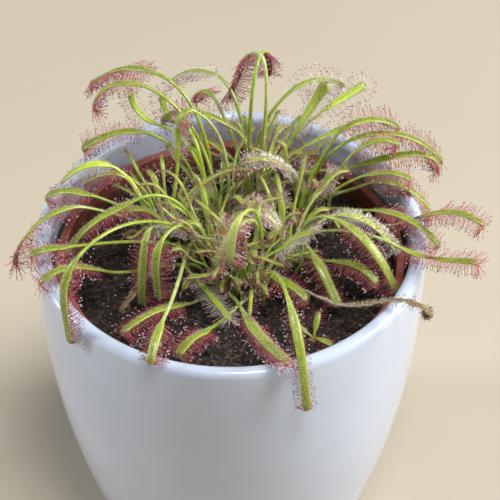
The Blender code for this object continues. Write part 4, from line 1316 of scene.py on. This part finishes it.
def add_hairs(bm, form, shape):
    """Short hairs on the back and the stalk of a leaf."""
    growth = GROWTHS[form.leaf.kind]
    draw = form.draw
    full = growth.hair_length * MM
    for _ in range(round(growth.hairs * form.length / MM)):
        part = draw.uniform(*HAIR_SPAN)
        place, along, across, upper = form.on_blade(part)
        width = form.margin(part)
        side = draw.uniform(*HAIR_SIDES)
        height = FINE_HALF_THICKNESS * (1 - side * side) ** BACK_ROUNDING - MARGIN_SAG * width * side * side
        foot = place + across * width * side + upper * (height - HAIR_SUNK)
        aim = upper + across * (side + draw.gauss(0, HAIR_SWAY)) + along * draw.gauss(HAIR_LEAN, HAIR_SWAY)
        planted(bm, shape, facing(foot, aim, along, full * draw.uniform(*HAIR_SIZES)))
    rise = (form.stalk[3] - form.stalk[0]).length
    for _ in range(round(growth.hairs * STALK_HAIR_SHARE * rise / MM)):
        place, along, across, upper = form.on_stalk(draw.uniform(*STALK_HAIR_SPAN))
        turn = draw.uniform(0, math.tau)
        sideways, upward = across * math.cos(turn), upper * math.sin(turn)
        skin = (sideways * STALK_HALF_WIDTH + upward * STALK_HALF_THICKNESS) * form.slim
        aim = sideways + upward + along * STALK_HAIR_LEAN
        planted(bm, shape, facing(place + skin * STALK_HAIR_INSET, aim, along,
                                  full * draw.uniform(*STALK_HAIR_SIZES)))


def leaf_materials(look):
    """A leaf material for each kind of leaf, in the order of their slots."""
    young, dead, stalk = look.young_colour, look.dead_colour, look.stalk_colour
    # Each margin colour is partly painted glow of light through the thin edges
    return [
        leaf_material("olive leaf", look.mature_colour, stalk, PALE_SKIN, margin=(0.5, 0.55, 0.08),
                      flush=(0.3, 0.03, 0.045), gloss=0.45),
        leaf_material("bright young leaf", young, stalk, PALE_SKIN, margin=(0.6, 0.68, 0.2),
                      flush=(0.42, 0.36, 0.1), gloss=0.4),
        leaf_material("pale downy leaf", look.pale_colour, stalk, (0.6, 0.66, 0.32), margin=(0.66, 0.5, 0.36),
                      flush=(0.42, 0.13, 0.12), gloss=0.5),
        leaf_material("withered leaf", dead, shade(dead, 0.8), (0.46, 0.32, 0.2), margin=(0.62, 0.52, 0.42),
                      flush=(0.1, 0.04, 0.028), gloss=0.8),
        leaf_material("small heart leaf", shade(young, 0.62), stalk, PALE_SKIN, margin=(0.6, 0.65, 0.25),
                      flush=(0.3, 0.08, 0.05), gloss=0.4),
    ]


def fringe_materials(look):
    """Materials of the tentacles and of their glands, in the order of the fringes."""
    stalks = [tentacle_material("crimson tentacle", look.tentacle_foot, look.tentacle_head),
              tentacle_material("clear tentacle", (0.82, 0.82, 0.62), (0.78, 0.5, 0.46)),
              tentacle_material("dry tentacle", (0.3, 0.18, 0.1), (0.14, 0.07, 0.05)),
              tentacle_material("pink tentacle", (0.86, 0.8, 0.68), (0.74, 0.4, 0.42))]
    glands = [gland_material("dark red gland", look.gland_colour),
              gland_material("purple gland", (0.06, 0.008, 0.025)),
              gland_material("dry gland", (0.06, 0.03, 0.02)),
              gland_material("pink gland", (0.4, 0.1, 0.15))]
    return stalks, glands


def colour_field(name, description, default):
    """A colour in the sidebar."""
    return FloatVectorProperty(name=name, description=description, subtype="COLOR", min=0, max=1,
                               default=default)


class SundewPots(PropertyGroup):
    """Finishes of the two pots."""

    glaze_colour: colour_field("Glaze colour", "Body colour of the ceramic pot's glaze", (0.57, 0.645, 0.79))
    glaze_roughness: FloatProperty(name="Glaze roughness", description="How soft the glaze's reflections are",
                                   min=0.02, max=1, default=0.2)
    plastic_colour: colour_field("Plastic colour", "Colour of the nursery pot", (0.27, 0.072, 0.05))


class SundewPeat(PropertyGroup):
    """The peat and what lies in it."""

    peat_colour: colour_field("Peat colour", "Colour of moist peat", (0.012, 0.008, 0.0063))
    crumbs: IntProperty(name="Crumbs", description="Loose crumbs on the peat", min=0, max=9000, default=3400)
    crumb_size: FloatProperty(name="Crumb size", description="Radius of an average crumb", unit="LENGTH",
                              min=0.0001, max=0.003, precision=5, default=0.55 * MM)
    fibres: IntProperty(name="Fibres", description="Bits of fibre on the peat", min=0, max=2000, default=260)
    grains: IntProperty(name="Pale grains", description="Pale mineral grains in the peat", min=0, max=4000,
                        default=900)


class SundewPlant(PropertyGroup):
    """Colours of the plant."""

    mature_colour: colour_field("Mature leaf", "Back of a mature leaf", (0.22, 0.285, 0.008))
    young_colour: colour_field("Young leaf", "Back of a young leaf", (0.5, 0.66, 0.05))
    pale_colour: colour_field("Downy leaf", "Back of a downy leaf", (0.5, 0.57, 0.1))
    dead_colour: colour_field("Withered leaf", "A dry leaf", (0.28, 0.16, 0.085))
    stalk_colour: colour_field("Stalk", "Leaf stalks", (0.435, 0.585, 0.06))
    tentacle_foot: colour_field("Tentacle foot", "Foot of a mature leaf's tentacles", (0.62, 0.22, 0.18))
    tentacle_head: colour_field("Tentacle head", "Top of a mature leaf's tentacles", (0.34, 0.012, 0.05))
    gland_colour: colour_field("Gland", "Glands of mature leaves", (0.09, 0.006, 0.014))


class SundewStage(PropertyGroup):
    """Floor and light."""

    floor_colour: colour_field("Floor colour", "Plain floor", (0.48, 0.42, 0.325))
    key_power: FloatProperty(name="Key light", description="Power of the soft light on the right",
                             unit="POWER", min=0, max=100, default=12.2)
    fill_power: FloatProperty(name="Fill light", description="Power of the narrow light on the left",
                              unit="POWER", min=0, max=100, default=5.2)
    window: FloatProperty(name="Window", description="Strength of the far light above and in front", min=0,
                          max=20, default=2.0)
    sky: FloatProperty(name="Sky", description="Strength of the light from all round", min=0, max=5,
                       default=0.12)


def build_outer_pot(look):
    """Glazed ceramic pot: floor, curved wall, rounded lip and a flat foot."""
    heights = [LIP_HEIGHT * number / WALL_RINGS for number in range(1, WALL_RINGS)]
    inner_foot = pot_radius(POT_FLOOR + INNER_CORNER) - POT_WALL
    profile = [(0, POT_FLOOR)]
    profile += arc((inner_foot - INNER_CORNER, POT_FLOOR + INNER_CORNER), INNER_CORNER, -90, 0, CORNER_POINTS)
    profile += [(pot_radius(height) - POT_WALL, height) for height in heights
                if height > POT_FLOOR + 2 * INNER_CORNER]
    profile += arc((LIP_MIDDLE, LIP_HEIGHT), LIP_TUBE, 180, 0, LIP_POINTS)
    profile += [(pot_radius(height), height) for height in reversed(heights) if height > 2 * FOOT_ROUND]
    profile += arc((POT_BASE_RADIUS - FOOT_ROUND, FOOT_ROUND), FOOT_ROUND, 0, -90, CORNER_POINTS) + [(0, 0)]
    mesh = new_mesh("ceramic_pot", spun(profile, POT_STEPS))
    piece = new_piece("ceramic_pot", mesh, [glaze_material(look)])
    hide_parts("outer_pot")


def build_nursery_pot(look):
    """Plastic grow pot with a rounded rim band, a bead below it and drain holes."""
    floor = NURSERY_BASE + NURSERY_FLOOR
    band_base = NURSERY_RIM_TOP - NURSERY_BAND
    inside, outside = NURSERY_RIM_RADIUS - NURSERY_BAND_WALL, NURSERY_RIM_RADIUS
    wall = nursery_radius(band_base)
    soft = RIM_ROUND
    profile = [(0, floor), (nursery_radius(floor) - NURSERY_WALL, floor),
               (wall - NURSERY_WALL, band_base - soft), (inside + soft / 2, band_base + 2 * soft)]
    profile += arc((inside + soft, NURSERY_RIM_TOP - soft), soft, 180, 90, RIM_POINTS)
    profile += arc((outside - soft, NURSERY_RIM_TOP - soft), soft, 90, 0, RIM_POINTS)
    profile += arc((outside - soft / 2, band_base + soft / 2), soft / 2, 0, -90, EDGE_POINTS)
    profile += [(wall, band_base - soft / 2), (wall, band_base - soft)]
    profile += arc((nursery_radius(NURSERY_BASE) - soft, NURSERY_BASE + soft), soft, 0, -90, EDGE_POINTS)
    profile += [(0, NURSERY_BASE)]
    pot = new_piece("grow_pot", new_mesh("grow_pot", spun(profile, NURSERY_STEPS)), [plastic_material(look)])
    drill = bmesh.new()
    for number in range(DRAIN_COUNT):
        angle = math.tau * number / DRAIN_COUNT
        place = Vector((DRAIN_RING * math.cos(angle), DRAIN_RING * math.sin(angle), NURSERY_BASE))
        bmesh.ops.create_cone(drill, cap_ends=True, segments=DRAIN_SIDES, radius1=DRAIN_RADIUS,
                              radius2=DRAIN_RADIUS, depth=DRILL_LENGTH, matrix=Matrix.Translation(place))
    cutter = new_object("drill", new_mesh("drill", drill))
    cut = pot.modifiers.new("Drain holes", "BOOLEAN")
    cut.operation = "DIFFERENCE"
    cut.object = cutter
    whole = pot.data
    pot.data = bpy.data.meshes.new_from_object(pot.evaluated_get(bpy.context.evaluated_depsgraph_get()))
    pot.modifiers.clear()
    pot.data.set_sharp_from_angle(angle=math.radians(SHARP_ANGLE))
    bpy.data.objects.remove(cutter, do_unlink=True)
    discard([whole])
    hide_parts("nursery_pot")


def bed_height(x, y, edge):
    """Height of the crumbly bed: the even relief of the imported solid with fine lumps, level at its edge."""
    place = Vector((x, y, 0))
    lumps = sum(noise.noise(place / size) * height for size, height in BED_LUMPS)
    size, height = BED_CRUMBLE
    lumps += abs(noise.noise(place / size)) * height
    return soil_height(x, y) + lumps * MM * min(1, edge / BED_EDGE) - BED_SINK


def lump_shapes():
    """Uneven lumps of unit radius, for crumbs and grains."""
    lumps = []
    for number in range(LUMP_COUNT):
        bm = bmesh.new()
        bmesh.ops.create_icosphere(bm, subdivisions=1, radius=1)
        for vert in bm.verts:
            shift = Vector((number * LUMP_SHIFT, 0, 0))
            vert.co *= 1 + LUMP_RELIEF * noise.noise(vert.co * LUMP_RATE + shift)
        lumps.append(new_mesh("lump", bm))
    return lumps


def build_peat(look):
    """Peat that fills the nursery pot, with loose crumbs, fibres and pale grains on it."""
    draw = random.Random(PEAT_SEED)
    top_radius = nursery_radius(SOIL_TOP) - NURSERY_WALL - SEAT_GAP
    base_radius = nursery_radius(SOIL_BASE) - NURSERY_WALL - SEAT_GAP
    profile = [(top_radius * number / BED_RINGS, SOIL_TOP) for number in range(BED_RINGS + 1)]
    profile += [(top_radius, SOIL_TOP - BED_EDGE), (base_radius, SOIL_BASE), (0, SOIL_BASE)]
    bm = spun(profile, BED_STEPS)
    for vert in bm.verts:
        if vert.co.z > SOIL_TOP - BED_EDGE / 2:
            vert.co.z = bed_height(vert.co.x, vert.co.y, top_radius - vert.co.xy.length)
    peat = peat_material(look)
    bed = new_piece("peat_bed", new_mesh("peat_bed", bm), [peat])
    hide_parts("soil")

    def somewhere(inset):
        radius = (top_radius - inset) * math.sqrt(draw.random())
        angle = draw.uniform(0, math.tau)
        x, y = radius * math.cos(angle), radius * math.sin(angle)
        return Vector((x, y, bed_height(x, y, top_radius - radius)))

    def any_turn():
        return draw.uniform(0, math.tau)

    lumps = lump_shapes()
    bm = bmesh.new()
    for _ in range(look.crumbs):
        size = look.crumb_size * min(LARGEST_CRUMB, draw.lognormvariate(*CRUMB_SIZES))
        turn = Matrix.Rotation(any_turn(), 4, Vector((draw.gauss(0, 1), draw.gauss(0, 1), 1)))
        depth, height = size * draw.uniform(*CRUMB_DEPTHS), size * draw.uniform(*CRUMB_HEIGHTS)
        squash = Matrix.Diagonal((size, depth, height, 1))
        planted(bm, draw.choice(lumps), Matrix.Translation(somewhere(2 * size)) @ turn @ squash)
    new_piece("peat_crumbs", new_mesh("peat_crumbs", bm), [peat])

    bm = bmesh.new()
    strands = [stalk_shape(bend, FIBRE_STEPS, FIBRE_FOOT, FIBRE_LENGTH, FIBRE_END, 0)[0]
               for bend in FIBRE_BENDS]
    for _ in range(look.fibres):
        aim = Vector((draw.gauss(0, 1), draw.gauss(0, 1), draw.uniform(*FIBRE_RISE)))
        side = Vector((draw.gauss(0, 1), draw.gauss(0, 1), FIBRE_DROOP))
        place = somewhere(FIBRE_LENGTH) + UP * FIBRE_LIFT
        planted(bm, draw.choice(strands), facing(place, aim, side, draw.uniform(*FIBRE_SIZES)))
    fibre = bit_material("dry fibre", DRY_FIBRE, 0.8)
    new_piece("peat_fibres", new_mesh("peat_fibres", bm), [fibre])

    bm = bmesh.new()
    for _ in range(look.grains):
        size = min(LARGEST_GRAIN, draw.lognormvariate(*GRAIN_SIZES)) * MM
        turn = Matrix.Rotation(any_turn(), 4, Vector((draw.gauss(0, 1), 1, draw.gauss(0, 1))))
        place = somewhere(MM) + UP * size * GRAIN_LIFT
        planted(bm, draw.choice(lumps), Matrix.Translation(place) @ turn @ Matrix.Scale(size, 4))
    pale_grain = bit_material("pale grain", PALE_GRAIN, 0.7)
    new_piece("pale_grains", new_mesh("pale_grains", bm), [pale_grain])
    discard(lumps + strands)


def hub_mesh(crown):
    """The short brown stem in the peat that a heart's leaves grow from."""
    bm = bmesh.new()
    middle = on_peat(crown, 0, 0) + UP * (HUB_HEIGHT - ROOT_DEPTH) / 2
    bmesh.ops.create_cone(bm, cap_ends=True, segments=HUB_SIDES, radius1=HUB_RADIUS * HUB_TAPER,
                          radius2=HUB_RADIUS, depth=HUB_HEIGHT + ROOT_DEPTH,
                          matrix=Matrix.Translation(middle))
    rim = [edge for edge in bm.edges if all(vert.co.z > middle.z for vert in edge.verts)]
    bmesh.ops.bevel(bm, geom=rim, offset=HUB_BEVEL, offset_type="OFFSET", segments=3, profile=0.5,
                    affect="EDGES", material=-1)
    return new_mesh("hub", bm, KIND_ORDER.index("dead"))


def build_plant(look):
    """Every leaf in place of its node, and each crown's tentacles, glands and dew."""
    noise.seed_set(CRUMPLE_SEED)
    nodes, crowd = plan_leaves()
    for crown in ROSETTES:
        nodes[heart_name(crown)] += filler_leaves(crown, crowd)
    looks = leaf_materials(look)
    hair = {kind: hair_shape(len(looks) + (kind == "pale")) for kind in KIND_ORDER}
    looks += [hair_material("short hair", SHORT_HAIR), hair_material("white down", WHITE_DOWN)]
    fringes = {crown: [] for crown in CROWNS}
    for node, members in nodes.items():
        bm = bmesh.new()
        for number, (leaf, curves) in enumerate(members):
            form = LeafForm(leaf, curves, "%s %d" % (node, number))
            absorb(bm, form.mesh(KIND_ORDER.index("pale" if leaf.name in PALEST else leaf.kind)))
            fringes[leaf.crown].append((node, form))
            add_hairs(bm, form, hair["pale" if leaf.name in DOWNY else leaf.kind])
        if node.startswith("heart_"):
            absorb(bm, hub_mesh(members[0][0].crown))
        piece = new_piece(node + "_blade", new_mesh(node, bm), looks)
        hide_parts(node)
    build_fringes(look, fringes, crowd)
    discard(hair.values())


def build_fringes(look, fringes, crowd):
    """Tentacles with their glands and drops of dew, one piece of each for a crown."""
    stalk_looks, gland_looks = fringe_materials(look)
    dew = dew_material()
    drop = drop_shape()
    shapes = {}
    beads = {}
    for number, fringe in enumerate(FRINGE_ORDER):
        shapes[fringe] = [[stalk_shape(bend, steps, STALK_FOOT, SHAPE_LENGTH, STALK_NECK, number)
                           for bend in BENDS] for steps in (SHORT_STEPS, LONG_STEPS)]
        beads[fringe] = gland_shape(number)
    for crown, forms in fringes.items():
        stalks, glands, drops = bmesh.new(), bmesh.new(), bmesh.new()
        for owner, form in forms:
            growth = GROWTHS[form.leaf.kind]
            fringe = "clear" if form.leaf.name in CLEAR_FRINGED else FRINGE_OF[form.leaf.kind]
            draw = form.draw
            for foot, aim, wished in tentacle_sites(form):
                length = kept_length(foot, aim, wished, owner, crowd)
                if not length:
                    continue
                hue = "pink" if form.leaf.name in PALEST and draw.random() < PINK_SHARE else fringe
                shape, top, end = draw.choice(shapes[hue][length > LONG_STALK])
                side = Vector((draw.gauss(0, STALK_SWAY), draw.gauss(0, STALK_SWAY), STALK_LEAN))
                stand = facing(foot, aim, side, length / SHAPE_LENGTH)
                planted(stalks, shape, stand)
                head = stand @ top
                outward = (stand.to_3x3() @ end).normalized()
                size = growth.gland * MM * draw.uniform(*GLAND_SIZES)
                planted(glands, beads[hue], facing(head, outward, side, size))
                if draw.random() < growth.dew_share:
                    size = growth.dew * MM * draw.uniform(*DROP_SIZES)
                    planted(drops, drop, facing(head + outward * DROP_LIFT, outward, side, size))
        new_piece("crown_%d_tentacles" % crown, new_mesh("tentacles", stalks), stalk_looks)
        new_piece("crown_%d_glands" % crown, new_mesh("glands", glands), gland_looks)
        new_piece("crown_%d_dew" % crown, new_mesh("dew", drops), [dew])
    discard([drop, *beads.values()])
    discard([shape for sizes in shapes.values() for size in sizes for shape, _, _ in size])


def new_lamp(name, kind, power, direction):
    """A lamp that shines in a direction. Gives its object."""
    lamp = bpy.data.lights.new(name, kind)
    lamp.energy = power
    light = new_object(name, lamp)
    light.rotation_euler = direction.to_track_quat("-Z", "Y").to_euler()
    return light


def soft_light(name, power, place, size, tint):
    """A square or narrow soft light that looks at the plant."""
    light = new_lamp(name, "AREA", power, LIT_PLACE - Vector(place))
    light.location = place
    light.data.shape = "RECTANGLE"
    light.data.size, light.data.size_y = size
    light.data.color = tint


def build_stage(look):
    """Plain pale floor, a soft light on either side, the window's light, a dim sky and the camera."""
    bm = bmesh.new()
    bmesh.ops.create_grid(bm, x_segments=4, y_segments=4, size=FLOOR_REACH)
    floor = new_object("floor", new_mesh("floor", bm))
    plain = Finish("pale floor", look.floor_colour)
    plain.over(shade(look.floor_colour, 0.95), plain.mottle(6.0, 0.0, 0.5))
    floor.data.materials.append(plain.done(Roughness=0.7))
    soft_light("key", look.key_power, *KEY_LIGHT)
    soft_light("fill", look.fill_power, *FILL_LIGHT)
    window = new_lamp("window", "SUN", look.window, Vector(WINDOW_DIRECTION))
    window.data.angle = math.radians(WINDOW_SPREAD)
    world = bpy.data.worlds.new("room")
    world.use_nodes = True
    sky = world.node_tree.nodes["Background"]
    sky.inputs["Color"].default_value = SKY_TINT
    sky.inputs["Strength"].default_value = look.sky
    scene = bpy.context.scene
    scene.world = world
    lens = bpy.data.cameras.new("camera")
    lens.lens = CAMERA_LENS
    lens.sensor_width = CAMERA_SENSOR
    scene.camera = new_object("camera", lens)
    scene.camera.location = CAMERA_PLACE
    scene.camera.rotation_euler = (math.radians(CAMERA_TILT), 0, 0)
    scene.view_settings.view_transform = "Standard"


class SUNDEW_OT_outer_pot(Operator):
    """Make the glazed ceramic pot"""

    bl_idname = "sundew.outer_pot"
    bl_label = "Ceramic pot"

    def execute(self, context):
        build_outer_pot(context.scene.sundew_pots)
        return {"FINISHED"}


class SUNDEW_OT_nursery_pot(Operator):
    """Make the plastic nursery pot"""

    bl_idname = "sundew.nursery_pot"
    bl_label = "Nursery pot"

    def execute(self, context):
        build_nursery_pot(context.scene.sundew_pots)
        return {"FINISHED"}


class SUNDEW_OT_peat(Operator):
    """Make the peat with its crumbs, fibres and grains"""

    bl_idname = "sundew.peat"
    bl_label = "Peat"

    def execute(self, context):
        build_peat(context.scene.sundew_peat)
        return {"FINISHED"}


class SUNDEW_OT_plant(Operator):
    """Make the leaves with their hairs, tentacles, glands and dew"""

    bl_idname = "sundew.plant"
    bl_label = "Plant"

    def execute(self, context):
        build_plant(context.scene.sundew_plant)
        return {"FINISHED"}


class SUNDEW_OT_stage(Operator):
    """Make the floor, the light and the camera"""

    bl_idname = "sundew.stage"
    bl_label = "Stage"

    def execute(self, context):
        build_stage(context.scene.sundew_stage)
        return {"FINISHED"}


class SUNDEW_PT_panel(Panel):
    """Steps that dress the potted sundew"""

    bl_idname = "SUNDEW_PT_panel"
    bl_label = "Potted sundew"
    bl_space_type = "VIEW_3D"
    bl_region_type = "UI"
    bl_category = "Sundew"

    def draw(self, context):
        for name, kind in GROUPS.items():
            box = self.layout.box()
            for field in kind.__annotations__:
                box.prop(getattr(context.scene, name), field)
        for operator in OPERATORS:
            self.layout.operator(operator.bl_idname)


GROUPS = {"sundew_pots": SundewPots, "sundew_peat": SundewPeat, "sundew_plant": SundewPlant,
          "sundew_stage": SundewStage}
OPERATORS = (SUNDEW_OT_outer_pot, SUNDEW_OT_nursery_pot, SUNDEW_OT_peat, SUNDEW_OT_plant, SUNDEW_OT_stage)
CLASSES = (*GROUPS.values(), *OPERATORS, SUNDEW_PT_panel)


def register():
    """Register the classes and hang the settings on the scene."""
    for kind in CLASSES:
        bpy.utils.register_class(kind)
    for name, kind in GROUPS.items():
        setattr(bpy.types.Scene, name, PointerProperty(type=kind))


def unregister():
    """Take the settings and the classes away."""
    for name in GROUPS:
        delattr(bpy.types.Scene, name)
    for kind in reversed(CLASSES):
        bpy.utils.unregister_class(kind)


def main():
    """Dress the part and set the stage."""
    register()
    bpy.ops.sundew.outer_pot()
    bpy.ops.sundew.nursery_pot()
    bpy.ops.sundew.peat()
    bpy.ops.sundew.plant()
    bpy.ops.sundew.stage()


if __name__ == "__main__":
    main()
